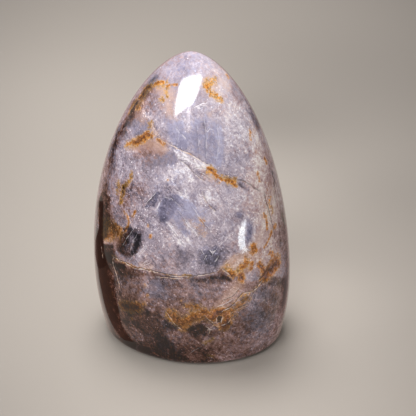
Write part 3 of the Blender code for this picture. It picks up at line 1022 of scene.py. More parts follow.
def moved_behind(pixels, most_turn):
    """The pixels turned about their middle by up to most_turn and moved at random in the view from
    behind, or None if no try leaves them all where the front camera can't see."""
    pixels = np.asarray(pixels, float)
    for _ in range(TRIES):
        angle = chance.uniform(-most_turn, most_turn)
        turn = np.array([[math.cos(angle), -math.sin(angle)], [math.sin(angle), math.cos(angle)]])
        goal = behind.pixels[chance.integers(len(behind.pixels))]
        moved = (pixels - pixels.mean(axis=0)) @ turn.T + goal
        closest = [behind.nearest(pixel)[0][0] for pixel in moved]
        gaps = np.linalg.norm(picture_pixels(skin[closest] * behind.turn) - moved, axis=1)
        if gaps.max() < MOST_GAP and front.openness[closest].max() < HIDDEN_BELOW:
            return moved
    return None


def all_round(marks, most_turn=math.pi):
    """The marks with their pixels as points of the skin: those of the front, and each moved behind."""
    placed = []
    for first, second, *pixels in marks.values():
        placed.append((first, second, [front.place(pixel) for pixel in pixels]))
        moved = moved_behind(pixels, most_turn)
        if moved is not None:
            placed.append((first, second, [behind.place(pixel) for pixel in moved]))
    return placed


def panes_behind():
    """The panes of the front, each turned and moved to the view from behind."""
    for tone, warmth, clearness, softness, *outline in PANES.values():
        moved = moved_behind(outline, math.pi)
        if moved is not None:
            yield (tone, warmth, clearness, softness, *moved)


print("points that the camera in front can't see:", int((front.openness < HIDDEN_BELOW).sum()))

# %% [markdown]
# # The great crack that parts the stone
# One old crack runs all round the stone. Above it the quartz is milky and light, and below it smoky
# and brown; the tone below it is also darkened by painted shade of the lower stone, which turns
# away from the light above. In front its course is read from the picture, and behind it is guessed,
# so it is kept as a height for every angle round the axis.

# %% Course of the great crack
COURSE_PIXELS = [
    (95, 250), (103, 251), (111, 254.5), (118, 259.5), (126, 263.5), (136, 269.5), (143, 269.8),
    (151, 270.5), (164, 275), (176, 276), (188, 275.5), (200, 276.5), (208, 274.5), (216, 272),
    (222, 268), (226, 274), (232, 280), (245, 281), (258, 281), (264.5, 278), (272, 276), (286, 279),
]
ANGLES_BEHIND = np.radians(np.arange(14.0, 172.0, 4.0))
LEVEL_BEHIND = 37.0

# Reach in millimetres, count round the stone and phase of each wave
WAVES_BEHIND = ((4.0, 2.0, 0.4), (1.5, 5.0, 1.1), (0.6, 13.0, 0.0))


def course_of_the_crack():
    """Angles round the axis in order, and the crack's height at each: read from the pixels in front,
    and behind a level plus three waves, reach * sin(count * angle + phase)."""
    places = np.array([front.place(pixel) for pixel in COURSE_PIXELS])
    waves = [reach * np.sin(count * ANGLES_BEHIND + phase) for reach, count, phase in WAVES_BEHIND]
    angles = np.concatenate([np.arctan2(places[:, 1], places[:, 0]), ANGLES_BEHIND])
    heights = np.concatenate([places[:, 2], LEVEL_BEHIND + sum(waves)])
    order = np.argsort(angles)
    return angles[order], heights[order]


course_angles, course_heights = course_of_the_crack()


def crack_height(angles):
    """Height of the great crack at each angle, read between the points of its course."""
    return np.interp(angles, course_angles, course_heights, period=2.0 * math.pi)


BORDER_SOFTNESS = 0.8
skin_angles = np.arctan2(wandered[:, 1], wandered[:, 0])
drop = (crack_height(skin_angles) - wandered[:, 2]) / BORDER_SOFTNESS
below_crack = np.clip(0.5 + 0.5 * drop, 0.0, 1.0)
ring_angles = np.radians(np.linspace(-5.0, 185.0, 60))
ring = side_point(ring_angles - SECTION_TURN, crack_height(ring_angles))
ring = (ring - box_middle) * SKIN_INSET
print("heights of the great crack, in mm:", np.round(course_heights[::4], 1))

# %% [markdown]
# # All fields together
# The tone of the body is the sum of a level, a slant from the dark flank to the light one that is
# painted light, the step at the great crack, painted shade at the edges, and the broad shades and
# panes. Its warmth is made up in the same way. Both are kept as numbers at the points of the skin, for
# the material to read.

# %% Tone and warmth of the body
# Below the great crack the tone is lower: smoky quartz, and partly painted shade of the lower stone.
UPPER_TONE = 0.665
LOWER_TONE = 0.475
# Painted light: on the front the tone rises towards the right flank, where light that comes through the
# stone glows.
PAINTED_LIGHT_SLANT_PER_MM = 0.0034
UPPER_WARMTH = 0.10
LOWER_WARMTH = 0.72
FLANK_WARMTH = 0.30
FLANK_POWER = 3
# Painted shade at the edges, where the skin turns away from the camera in front and from its mirror
# behind: darker below the great crack, and warmer all round.
PAINTED_EDGE_SHADE_REACH = 0.45
PAINTED_EDGE_SHADE = 0.10
PAINTED_EDGE_WARMTH = 0.5
BACK_CLOUD_TONE = 0.05
BACK_CLOUD_SIZE = 17.0
BACK_CLOUD_SEED = 3
TIP_CALM = 0.7
TIP_CALM_FROM = 95.0
TIP_CALM_SPAN = 20.0

flank = np.clip(np.abs(skin[:, 0]) / HALF_WIDTH, 0.0, 1.0) ** FLANK_POWER
front_share = np.clip(0.5 - 0.5 * skin[:, 1] / HALF_DEPTH, 0.0, 1.0)
painted_edge_shade = np.clip(1.0 - np.maximum(front.openness, behind.openness) / PAINTED_EDGE_SHADE_REACH, 0.0, 1.0)
back_clouds = smooth_noise(skin, BACK_CLOUD_SIZE, BACK_CLOUD_SEED) * (1.0 - front_share)
tone = UPPER_TONE + (LOWER_TONE - UPPER_TONE) * below_crack
tone += PAINTED_LIGHT_SLANT_PER_MM * skin[:, 0] * front_share
tone += BACK_CLOUD_TONE * back_clouds - PAINTED_EDGE_SHADE * painted_edge_shade * below_crack
tone += shade_field(all_round(SHADES))
warmth = UPPER_WARMTH + (LOWER_WARMTH - UPPER_WARMTH) * below_crack
warmth += FLANK_WARMTH * flank + PAINTED_EDGE_WARMTH * painted_edge_shade
warmth += shade_field(all_round(WARMTHS))
clearness = TIP_CALM * np.clip((skin[:, 2] - TIP_CALM_FROM) / TIP_CALM_SPAN, 0.0, 1.0)
for view, panes in ((front, PANES.values()), (behind, panes_behind())):
    for tone_change, warmth_change, clear_change, chosen, mask in pane_masks(view, panes):
        tone[chosen] += tone_change * mask
        warmth[chosen] += warmth_change * mask
        clearness[chosen] += clear_change * mask
print("tone of the body:", np.round(np.percentile(tone, [2, 25, 50, 75, 98]), 2))

# %% Soft fields, stains and lines
LONG_TURN = math.radians(30.0)
RING_PALE = 0.9
RING_DARK = 0.9
fields = {
    "tone": tone,
    "warmth": warmth,
    "clearness": clearness,
    "veil": soft_field(all_round(VEILS)),
    "smoke_and_shade": soft_field(all_round(SMOKE_AND_PAINTED_SHADE)),
    "sparkle": soft_field(all_round(SPARKLES)),
    "crackle": soft_field(all_round(CRACKLES)),
    "rust": stain_field(all_round(RUSTS)),
    "gold": stain_field(all_round(GOLDS)),
    "peach": stain_field(all_round(PEACHES)),
}
line_sets = [
    line_fields(all_round(CRACKS, LONG_TURN)),
    line_fields(all_round(UNDER_CRACKS) + [(RING_PALE, RING_DARK, ring)]),
    line_fields(all_round(FEATHERS)),
]
line_vectors = {
    "line_" + part: np.stack([one_set[part] for one_set in line_sets], axis=-1)
    for part in ("side", "pale", "dark")
}
shares = {name: round(float((field > 0.5).mean()), 3) for name, field in fields.items()}
print("share of the skin that is over one half:", shares)

# %% [markdown]
# # Relief
# The polish runs over everything, but an open crack leaves a shallow groove and the rotten rust
# leaves small pits that the wheel didn't reach. Both are real depth in the mesh: the points move
# inwards along their normals, so the stone never grows past the solid. The feathers lie under the
# skin and leave no groove.

# %% Grooves and pits
GROOVE_DEPTH = 0.22
GROOVE_HALF_WIDTH = 0.8
PIT_DEPTH = 0.55
PIT_ROUGHNESS = 0.35
PIT_GRAIN = 0.9
PIT_SEED = 5
PITS = {
    "right pit": (2.1, 1, (269, 272), (274, 266)),
    "foot pit": (1.2, 1, (219.5, 318), (220, 323)),
    "leaf's dent": (0.9, 0.6, (241, 277)),
}


def relief():
    """Depth in mm: grooves fall off from a crack as (1 - distance / half width)^2, and pits are
    soft patches roughened by fine noise."""
    groove = np.zeros(len(skin))
    cracks, under_cracks, _ = line_sets
    for one_set in (cracks, under_cracks):
        closeness = np.clip(1.0 - np.abs(one_set["side"]) / GROOVE_HALF_WIDTH, 0.0, 1.0)
        groove = np.maximum(groove, one_set["dark"] * closeness ** 2)
    grain = 1.0 - PIT_ROUGHNESS + PIT_ROUGHNESS * smooth_noise(skin, PIT_GRAIN, PIT_SEED)
    return GROOVE_DEPTH * groove + PIT_DEPTH * soft_field(all_round(PITS)) * grain


depth = relief()
places = skin - depth[:, None] * normals
print("deepest relief, in mm:", round(float(depth.max()), 2))


# %% The stone's mesh with its fields
def skin_faces(rows, columns):
    """Quads between neighbouring rows, and a fan of triangles at the foot's middle and at the tip."""
    around = np.arange(columns)
    row_starts = 1 + np.arange(rows - 1)[:, None] * columns
    first = row_starts + around
    right = row_starts + (around + 1) % columns
    quads = np.stack([first, right, right + columns, first + columns], axis=-1).reshape(-1, 4)
    ring_first = 1 + around
    ring_right = 1 + (around + 1) % columns
    last_row = (rows - 1) * columns
    foot_fan = np.stack([np.zeros(columns, int), ring_right, ring_first], axis=-1)
    tip_point = np.full(columns, rows * columns + 1)
    tip_fan = np.stack([last_row + ring_first, last_row + ring_right, tip_point], axis=-1)
    return quads.tolist() + np.concatenate([foot_fan, tip_fan]).tolist()


mesh = bpy.data.meshes.new("polished_stone")
mesh.from_pydata((places * MM).tolist(), [], skin_faces(*grid.shape[:2]))
mesh.shade_smooth()
for name, field in fields.items():
    layer = mesh.attributes.new(name, "FLOAT", "POINT")
    layer.data.foreach_set("value", field.astype(np.float32))
for name, field in line_vectors.items():
    layer = mesh.attributes.new(name, "FLOAT_VECTOR", "POINT")
    layer.data.foreach_set("vector", field.astype(np.float32).ravel())
stone = new_object("polished_stone", mesh)
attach(stone, "root")
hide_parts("stone")
print("triangles of the stone:", sum(len(face.vertices) - 2 for face in mesh.polygons))

# %% [markdown]
# # Short calls for shader nodes
# The stone's material has many nodes, and written out one by one they would hide its plan. So a
# small helper adds a node, wires its inputs and hands its output back, and the plan then reads like
# a sum.


# %% Helper that adds and wires nodes
class Wiring:
    """Adds nodes to one tree, and hands back output sockets that its next call can take."""

    def __init__(self, tree):
        self.tree = tree

    def give(self, socket, value):
        """Wire an input from another socket, or set it to a value."""
        if isinstance(value, bpy.types.NodeSocket):
            self.tree.links.new(value, socket)
        else:
            socket.default_value = value

    def node(self, kind, inputs, **settings):
        """A node with its settings and its inputs."""
        node = self.tree.nodes.new(kind)
        for name, value in settings.items():
            setattr(node, name, value)
        for key, value in inputs.items():
            self.give(node.inputs[key], value)
        return node

    def group(self, shared, inputs):
        """The outputs of a shared group that is given its inputs."""
        return self.node("ShaderNodeGroup", inputs, node_tree=shared).outputs

    def math(self, operation, *values):
        """One operation of the Math node."""
        return self.node("ShaderNodeMath", dict(enumerate(values)), operation=operation).outputs[0]

    def sum(self, first, *others):
        """The sum of two or more numbers."""
        for value in others:
            first = self.math("ADD", first, value)
        return first

    def times(self, first, *others):
        """The product of two or more numbers."""
        for value in others:
            first = self.math("MULTIPLY", first, value)
        return first

    def rest(self, share):
        """What a share leaves of the whole: 1 - share."""
        return self.math("SUBTRACT", 1.0, share)

    def rise(self, value, low, high, bottom=0.0, top=1.0):
        """A smooth step from bottom to top as the value goes from low to high."""
        limits = {"Value": value, "From Min": low, "From Max": high, "To Min": bottom, "To Max": top}
        return self.node("ShaderNodeMapRange", limits, interpolation_type="SMOOTHSTEP").outputs[0]

    def around(self, value, reach):
        """A noise value from 0 to 1 turned into one from -reach to reach."""
        limits = {"Value": value, "From Min": 0.0, "From Max": 1.0, "To Min": -reach, "To Max": reach}
        return self.node("ShaderNodeMapRange", limits, clamp=False).outputs[0]

    def vector(self, operation, place, *values, **named):
        """One operation of the Vector Math node."""
        inputs = {0: place, **dict(enumerate(values, start=1)), **named}
        return self.node("ShaderNodeVectorMath", inputs, operation=operation).outputs[0]

    def tint(self, share, first, second, blend="MIX"):
        """The first colour with a share of the second over it."""
        node = self.node("ShaderNodeMix", {}, data_type="RGBA", blend_type=blend)
        sockets = [socket for socket in node.inputs if socket.enabled]
        for socket, value in zip(sockets, (share, first, second)):
            self.give(socket, value)
        return [socket for socket in node.outputs if socket.enabled][0]

    def noise(self, place, size, detail=2.0, roughness=0.5, output="Fac"):
        """Smooth noise from 0 to 1 with lumps of a size in millimetres, or its colour."""
        inputs = {"Vector": place, "Scale": 1.0 / size, "Detail": detail, "Roughness": roughness}
        return self.node("ShaderNodeTexNoise", inputs).outputs[output]

    def cells(self, place, size, feature="F1", output="Distance"):
        """Cells of a size in millimetres: the distance to their seeds or edges, or their colour."""
        inputs = {"Vector": place, "Scale": 1.0 / size}
        return self.node("ShaderNodeTexVoronoi", inputs, feature=feature).outputs[output]

    def chips(self, place, size, part):
        """Cells of a size in millimetres, each with one of its three random numbers from 0 to 1."""
        return self.parts(self.cells(place, size, output="Color"))[part]

    def threads(self, place, size, half_width):
        """Thin winding lines: 1 where noise passes through one half, and 0 beyond a half width."""
        off_middle = self.math("ABSOLUTE", self.around(self.noise(place, size), 1.0))
        return self.rise(off_middle, half_width, 0.0)

    def parts(self, vector):
        """The three numbers of a vector."""
        return self.node("ShaderNodeSeparateXYZ", {"Vector": vector}).outputs

    def field(self, name, output="Fac"):
        """A field of the skin."""
        return self.node("ShaderNodeAttribute", {}, attribute_name=name).outputs[output]

    def ramp(self, value, stops):
        """A colour for each value, blended between stops of a position and a colour."""
        node = self.node("ShaderNodeValToRGB", {0: value})
        elements = node.color_ramp.elements
        while len(elements) < len(stops):
            elements.new(1.0)
        for element, (position, colour) in zip(elements, stops):
            element.position = position
            element.color = (*colour, 1.0)
        return node.outputs[0]


# %% [markdown]
# # Two shared effects
# Both are node groups with named inputs and outputs. The first gives a stain its ragged thickness:
# it adds noise to a field, and hands back the thickness and how much it covers. The second turns
# the signed distance to a crack into its pale lip and its dark shadow.


# %% Group for ragged stains
def group_sockets(group, inputs, outputs):
    """Add inputs, a vector where the value is None and a number otherwise, and outputs that are
    numbers. Hands back the sockets that the group reads from and those that it writes to."""
    for name, value in inputs.items():
        kind = "NodeSocketVector" if value is None else "NodeSocketFloat"
        socket = group.interface.new_socket(name, in_out="INPUT", socket_type=kind)
        if value is not None:
            socket.default_value = value
    for name in outputs:
        group.interface.new_socket(name, in_out="OUTPUT", socket_type="NodeSocketFloat")
    return group.nodes.new("NodeGroupInput").outputs, group.nodes.new("NodeGroupOutput").inputs


STAIN_INPUTS = {"Place": None, "Field": 0.0, "Raggedness": 0.5, "Start": 0.1, "Full": 0.4}
ragged = bpy.data.node_groups.new("ragged stain", "ShaderNodeTree")
given, result = group_sockets(ragged, STAIN_INPUTS, ["Thickness", "Cover"])
wiring = Wiring(ragged)
lumps = wiring.around(wiring.noise(given["Place"], size=1.6, detail=4.0, roughness=0.66), reach=1.3)
grains = wiring.around(wiring.noise(given["Place"], size=0.8, roughness=0.6), reach=0.4)
crumbs = wiring.around(wiring.chips(given["Place"], size=0.62, part=0), reach=0.12)
rough = wiring.times(wiring.sum(lumps, grains, crumbs), given["Raggedness"])
present = wiring.rise(given["Field"], low=0.0, high=0.25)
thickness = wiring.sum(given["Field"], wiring.times(rough, present))
ragged.links.new(thickness, result["Thickness"])
ragged.links.new(wiring.rise(thickness, given["Start"], given["Full"]), result["Cover"])
print("nodes of the ragged stain:", len(ragged.nodes))

# %% Group for the lips of cracks
LIP_HALF_WIDTH = 0.23
LIP_CORE = 0.3
SHADOW_WIDTH = 1.0
SHADOW_FULL = -0.25
SHADOW_EDGE = (0.12, -0.2)
LIP_INPUTS = {"Place": None, "Side": 1.5, "Pale": 0.0, "Dark": 0.0}
lips = bpy.data.node_groups.new("crack lips", "ShaderNodeTree")
given, result = group_sockets(lips, LIP_INPUTS, ["Lip", "Shadow"])
wiring = Wiring(lips)
jitter = wiring.around(wiring.noise(given["Place"], size=1.3, roughness=0.6), reach=0.38)
side_mm = wiring.sum(given["Side"], jitter)
lumpy = wiring.noise(given["Place"], size=2.6, detail=1.0)
swelling = wiring.rise(lumpy, low=0.3, high=0.7, bottom=0.35, top=1.7)
apart = wiring.math("DIVIDE", wiring.math("ABSOLUTE", side_mm), swelling)
unbroken = wiring.rise(wiring.noise(given["Place"], size=1.8), low=0.36, high=0.50, bottom=0.15)
lip_share = wiring.rise(apart, LIP_HALF_WIDTH, LIP_CORE * LIP_HALF_WIDTH)
shadow_share = wiring.rise(side_mm, -SHADOW_WIDTH, SHADOW_FULL)
shadow_share = wiring.times(shadow_share, wiring.rise(side_mm, *SHADOW_EDGE))
lips.links.new(wiring.times(lip_share, given["Pale"], unbroken), result["Lip"])
lips.links.new(wiring.times(shadow_share, given["Dark"]), result["Shadow"])
print("nodes of the crack lips:", len(lips.nodes))

# %% [markdown]
# # The quartz
# The colour is built in the order in which the stone formed, with painted light and shade in it.
# First comes the tone of the body, clouded at several scales, broken into shards and chips like the
# tiny cracks of real quartz, and threaded with hair lines. Veils raise it, and smoke with painted
# shade at the edges and the foot lowers it. Ramps turn the tone into colour, and then peach, gold,
# rust and the cracks are laid over it.

# %% Places that the patterns are read from, in millimetres
SHARD_SLANT = math.radians(48.0)
SHARD_STRETCH = (3.2, 1.5, 1.0)
STREAK_SLANT = math.radians(-14.0)
STREAK_STRETCH = (1.0, 1.0, 4.0)
MIDDLE_GREY = (0.5, 0.5, 0.5)


def new_material(name):
    """A material and its Principled shader."""
    material = bpy.data.materials.new(name)
    material.use_nodes = True
    return material, material.node_tree.nodes["Principled BSDF"]


quartz, shader = new_material("clouded_quartz")
quartz_tree = quartz.node_tree
nodes = Wiring(quartz_tree)
object_place = nodes.node("ShaderNodeTexCoord", {}).outputs["Object"]
place = nodes.vector("SCALE", object_place, Scale=1.0 / MM)


def pushed(size, detail, reach):
    """The place pushed about by coloured noise: place + reach * (noise - middle grey)."""
    push = nodes.vector("SUBTRACT", nodes.noise(place, size, detail, output="Color"), MIDDLE_GREY)
    return nodes.vector("ADD", place, nodes.vector("SCALE", push, Scale=reach))


bent = pushed(size=8.0, detail=3.0, reach=9.0)
rippled = pushed(size=1.6, detail=2.0, reach=1.6)


def slanting(slant, stretch):
    """The rippled place turned by a slant about the axis from front to back, and stretched."""
    inputs = {"Vector": rippled, "Rotation": (0.0, slant, 0.0), "Scale": stretch}
    return nodes.node("ShaderNodeMapping", inputs, vector_type="TEXTURE").outputs[0]


slanted = slanting(SHARD_SLANT, SHARD_STRETCH)
upright = slanting(STREAK_SLANT, STREAK_STRETCH)
print("nodes so far:", len(quartz_tree.nodes))


# %% Clouds, streaks, shards and chips
def cloud_layers(layers):
    """Layers of noise, each with its place, size in mm, detail, roughness and reach."""
    return [nodes.around(nodes.noise(*look), reach) for *look, reach in layers.values()]


def chip_layers(layers):
    """Layers of chips, each with its place, size in mm, which random number, and reach."""
    return [nodes.around(nodes.chips(*look), reach) for *look, reach in layers.values()]


CLOUDS = {
    "slow": (bent, 14.0, 2.0, 0.5, 0.12),
    "quick": (bent, 4.6, 1.0, 0.5, 0.13),
    "slanted": (slanted, 1.6, 1.0, 0.5, 0.10),
}
CHIPS = {
    "shards": (slanted, 2.3, 0, 0.035),
    "broad shards": (bent, 6.5, 1, 0.025),
    "chips": (rippled, 0.95, 0, 0.040),
    "crumbs": (place, 0.52, 1, 0.056),
}
STREAKS = {
    "slanted": (slanted, 0.9, 3.0, 0.65, 0.24),
    "upright": (upright, 0.8, 3.0, 0.65, 0.24),
}
slanted_share = nodes.rise(nodes.noise(place, size=13.0, detail=1.0), low=0.42, high=0.58)
upright_share = nodes.rest(slanted_share)
slanted_streaks, upright_streaks = cloud_layers(STREAKS)
streaks = nodes.sum(
    nodes.times(slanted_streaks, slanted_share), nodes.times(upright_streaks, upright_share))
texture = nodes.sum(*cloud_layers(CLOUDS), streaks, *chip_layers(CHIPS))
print("nodes so far:", len(quartz_tree.nodes))

# %% Threads: place, size and half width in mm, change of tone, and the share of the stone with them
here_and_there = nodes.noise(place, size=7.0)
THREADS = {
    "broad": (bent, 3.4, 0.055, 0.18, nodes.rise(here_and_there, low=0.42, high=0.62)),
    "fine": (rippled, 2.2, 0.06, 0.14, nodes.rise(here_and_there, low=0.56, high=0.40)),
    "dark": (slanted, 2.0, 0.06, -0.10, 1.0),
    "upright": (upright, 1.9, 0.05, 0.09, upright_share),
    "slanted": (slanted, 1.3, 0.05, 0.08, slanted_share),
}
threads = nodes.sum(*[
    nodes.times(nodes.threads(where, size, half_width), share, change)
    for where, size, half_width, change, share in THREADS.values()
])
print("nodes so far:", len(quartz_tree.nodes))

# %% Veils, windows, and smoke with painted shade
PATCH_CLOUDS = {
    "coarse": (place, 3.2, 3.0, 0.65, 0.5),
    "fine": (slanted, 1.3, 1.0, 0.5, 0.3),
}
patch_noise = nodes.sum(*cloud_layers(PATCH_CLOUDS))


def patch(field_name, raggedness, low, high):
    """Share of a soft field: a smooth step of the field + raggedness * the patches' noise."""
    ragged_field = nodes.sum(nodes.field(field_name), nodes.times(patch_noise, raggedness))
    return nodes.rise(ragged_field, low, high)


veil = patch("veil", raggedness=0.8, low=0.15, high=0.95)
window = patch("clearness", raggedness=-0.35, low=0.10, high=0.80)
smoke_and_shade = patch("smoke_and_shade", raggedness=-0.5, low=0.15, high=0.90)
crackle = patch("crackle", raggedness=0.3, low=0.15, high=0.85)
calm = nodes.rise(nodes.field("peach"), low=0.10, high=0.60)
lively = nodes.times(nodes.rise(nodes.field("warmth"), low=0.2, high=0.9), nodes.rest(calm))
print("nodes so far:", len(quartz_tree.nodes))

# %% Tone of the body
BUSYNESS = {
    "windows": (window, -0.55),
    "veils": (veil, 0.35),
    "warm places": (lively, 0.15),
    "peach": (calm, -0.35),
}
WARM_CLOUDS = {"warm places": (bent, 2.6, 3.0, 0.6, 0.22)}
THREADS_LOST = 0.55
VEIL_TONE = 0.12
SMOKE_AND_SHADE_TONE = -0.22
busyness = nodes.sum(1.0, *[nodes.times(share, change) for share, change in BUSYNESS.values()])
body = nodes.sum(
    nodes.field("tone"),
    nodes.times(texture, busyness),
    nodes.times(threads, busyness, nodes.rest(nodes.times(lively, THREADS_LOST))),
    nodes.times(*cloud_layers(WARM_CLOUDS), lively),
    nodes.times(veil, VEIL_TONE),
    nodes.times(smoke_and_shade, SMOKE_AND_SHADE_TONE),
)
print("nodes so far:", len(quartz_tree.nodes))

# %% Sparkle and crackle
FLECK_SIZE = 0.8
FLECK_CHANCE = 0.07
SPARKLE_CHANCE = 0.40
WINDOW_CHANCE = -0.05
FLECK_TONE = 0.28
NET_TONE = 0.12
sparkle_chance = nodes.times(nodes.field("sparkle"), SPARKLE_CHANCE)
fleck_chance = nodes.sum(sparkle_chance, FLECK_CHANCE, nodes.times(window, WINDOW_CHANCE))
fleck_shape = nodes.rise(nodes.cells(place, FLECK_SIZE), low=0.45, high=0.2)
fleck_draw = nodes.chips(place, FLECK_SIZE, part=2)
flecks = nodes.times(fleck_shape, nodes.math("GREATER_THAN", fleck_chance, fleck_draw))
net_edge = nodes.cells(rippled, size=1.7, feature="DISTANCE_TO_EDGE")
net = nodes.times(nodes.rise(net_edge, low=0.12, high=0.03), crackle)
body = nodes.sum(body, nodes.times(flecks, FLECK_TONE), nodes.times(net, NET_TONE))
print("nodes so far:", len(quartz_tree.nodes))

# %% Tone to colour, cooler above and warmer below and at the flanks
COOL_STOPS = [
    (0.10, (0.010, 0.008, 0.013)), (0.25, (0.046, 0.038, 0.052)), (0.38, (0.118, 0.097, 0.125)),
    (0.50, (0.215, 0.178, 0.225)), (0.62, (0.345, 0.288, 0.350)), (0.75, (0.510, 0.435, 0.510)),
    (0.88, (0.720, 0.640, 0.710)), (1.00, (0.950, 0.900, 0.940)),
]
WARM_STOPS = [
    (0.10, (0.014, 0.005, 0.003)), (0.25, (0.062, 0.023, 0.015)), (0.38, (0.142, 0.070, 0.055)),
    (0.50, (0.250, 0.145, 0.130)), (0.62, (0.385, 0.250, 0.252)), (0.75, (0.570, 0.398, 0.405)),
    (0.88, (0.750, 0.600, 0.595)), (1.00, (0.950, 0.870, 0.840)),
]
WARMTH_CLOUDS = {
    "slow": (bent, 9.0, 2.0, 0.5, 0.60),
    "fine": (rippled, 1.6, 2.0, 0.5, 0.40),
}
WARMTH_CHIPS = {"chips": (rippled, 0.95, 1, 0.30)}
BLUE_CAST = (0.84, 0.93, 1.09, 1.0)
WINDOW_BLUENESS = 0.25
warmth_here = nodes.sum(
    nodes.field("warmth"), *cloud_layers(WARMTH_CLOUDS), *chip_layers(WARMTH_CHIPS))
warm_share = nodes.rise(warmth_here, low=0.0, high=1.0)
colour = nodes.tint(warm_share, nodes.ramp(body, COOL_STOPS), nodes.ramp(body, WARM_STOPS))
coolness = nodes.sum(nodes.times(warmth_here, -1.0), nodes.times(window, WINDOW_BLUENESS))
colour = nodes.tint(nodes.rise(coolness, low=0.0, high=0.9), colour, BLUE_CAST, "MULTIPLY")
print("nodes so far:", len(quartz_tree.nodes))

# %% Peach, gold and rust: raggedness, and the thickness where each starts and where it covers
STAINS = {
    "peach": (0.35, 0.05, 0.75),
    "gold": (0.50, 0.08, 0.58),
    "rust": (0.45, 0.07, 0.55),
}
PEACH_STOPS = [
    (0.15, (0.100, 0.038, 0.022)), (0.45, (0.350, 0.180, 0.120)), (0.70, (0.670, 0.460, 0.385)),
    (1.00, (0.940, 0.800, 0.730)),
]
GOLD_STOPS = [
    (0.10, (0.540, 0.390, 0.240)), (0.35, (0.430, 0.245, 0.070)), (0.60, (0.290, 0.140, 0.022)),
    (0.90, (0.070, 0.036, 0.010)),
]
RUST_STOPS = [
    (0.05, (0.620, 0.430, 0.280)), (0.25, (0.560, 0.330, 0.130)), (0.45, (0.450, 0.190, 0.030)),
    (0.65, (0.310, 0.100, 0.011)), (0.85, (0.150, 0.042, 0.007)), (1.00, (0.060, 0.017, 0.005)),
]


def stain(name):
    """A stain's ragged thickness and cover."""
    raggedness, start, full = STAINS[name]
    inputs = {"Place": place, "Field": nodes.field(name), "Raggedness": raggedness, "Start": start}
    outputs = nodes.group(ragged, {**inputs, "Full": full})
    return outputs["Thickness"], outputs["Cover"]


_, peach_cover = stain("peach")
gold_thickness, gold_cover = stain("gold")
rust_thickness, rust_cover = stain("rust")
print("nodes so far:", len(quartz_tree.nodes))

# %% Stains over the quartz
PEACH_SHARE = 0.75
PEACH_SHADE = -0.02
grain_noise = nodes.noise(rippled, size=0.9, detail=3.0, roughness=0.7)
grain = nodes.rise(grain_noise, low=0.32, high=0.68, bottom=0.56, top=1.50)
light_and_dark = nodes.times(nodes.rise(body, low=0.12, high=0.85, bottom=0.18, top=1.5), grain)
thin_noise = nodes.noise(place, size=1.3, detail=3.0, roughness=0.65)
translucent = nodes.rise(thin_noise, low=0.30, high=0.62, bottom=0.62, top=0.95)
peach_colour = nodes.ramp(nodes.sum(body, PEACH_SHADE), PEACH_STOPS)
gold_colour = nodes.tint(1.0, nodes.ramp(gold_thickness, GOLD_STOPS), light_and_dark, "MULTIPLY")
rust_colour = nodes.tint(1.0, nodes.ramp(rust_thickness, RUST_STOPS), light_and_dark, "MULTIPLY")
colour = nodes.tint(nodes.times(peach_cover, PEACH_SHARE), colour, peach_colour)
colour = nodes.tint(nodes.times(gold_cover, translucent), colour, gold_colour)
colour = nodes.tint(nodes.times(rust_cover, translucent), colour, rust_colour)
print("nodes so far:", len(quartz_tree.nodes))

# %% Threads and patches of iron where the stone is crackled and warm
IRON = (0.330, 0.120, 0.025, 1.0)
IRON_SHIFT = (7.0, 3.0, 5.0)
THREAD_SHARE = 0.75
PATCH_SHARE = 0.5
iron_lines = nodes.threads(nodes.vector("ADD", rippled, IRON_SHIFT), size=1.8, half_width=0.09)
iron_places = nodes.rise(nodes.noise(place, size=3.0), low=0.40, high=0.58)
iron_threads = nodes.times(iron_lines, crackle, iron_places, THREAD_SHARE)
patch_places = nodes.rise(nodes.noise(rippled, size=2.4, detail=4.0, roughness=0.7), 0.55, 0.68)
warm_places = nodes.rise(warmth_here, low=0.45, high=1.1)
iron_patches = nodes.times(patch_places, warm_places, nodes.rest(calm), PATCH_SHARE)
iron_colour = nodes.tint(1.0, IRON, light_and_dark, "MULTIPLY")
colour = nodes.tint(nodes.math("MAXIMUM", iron_threads, iron_patches), colour, iron_colour)
print("nodes so far:", len(quartz_tree.nodes))

# %% Cracks over everything
LIP_STOPS = [(0.42, (0.88, 0.76, 0.72)), (0.56, (0.72, 0.50, 0.38)), (0.68, (0.50, 0.24, 0.08))]
WHITE_FEATHER = (0.90, 0.84, 0.90, 1.0)
CRACK_SHADOW = (0.026, 0.016, 0.018, 1.0)
SHADOW_SHARE = 0.75
lip_tint = nodes.ramp(nodes.noise(place, size=3.0, detail=3.0, roughness=0.6), LIP_STOPS)
sides = nodes.parts(nodes.field("line_side", "Vector"))
pales = nodes.parts(nodes.field("line_pale", "Vector"))
darks = nodes.parts(nodes.field("line_dark", "Vector"))
for side, pale, dark, lip_colour in zip(sides, pales, darks, (lip_tint, lip_tint, WHITE_FEATHER)):
    lip_outputs = nodes.group(lips, {"Place": place, "Side": side, "Pale": pale, "Dark": dark})
    colour = nodes.tint(nodes.times(lip_outputs["Shadow"], SHADOW_SHARE), colour, CRACK_SHADOW)
    colour = nodes.tint(lip_outputs["Lip"], colour, lip_colour)
print("nodes so far:", len(quartz_tree.nodes))

# %% [markdown]
# # Painted rim reflection
# Where one looks along the skin, a polished stone mirrors its bright surroundings, and that draws a
# thin pinkish rim round it. Here that reflection is also painted into the colour: the marks give way
# there to a dim pinkish colour.

# %% Painted rim reflection where one looks along the skin
PAINTED_RIM_REFLECTION = (0.440, 0.300, 0.270, 1.0)
facing = nodes.node("ShaderNodeLayerWeight", {"Blend": 0.5}).outputs["Facing"]
painted_rim_share = nodes.rise(facing, low=0.70, high=0.92, top=0.70)
colour = nodes.tint(painted_rim_share, colour, PAINTED_RIM_REFLECTION)
print("colour of the rim's glow:", PAINTED_RIM_REFLECTION[:3])

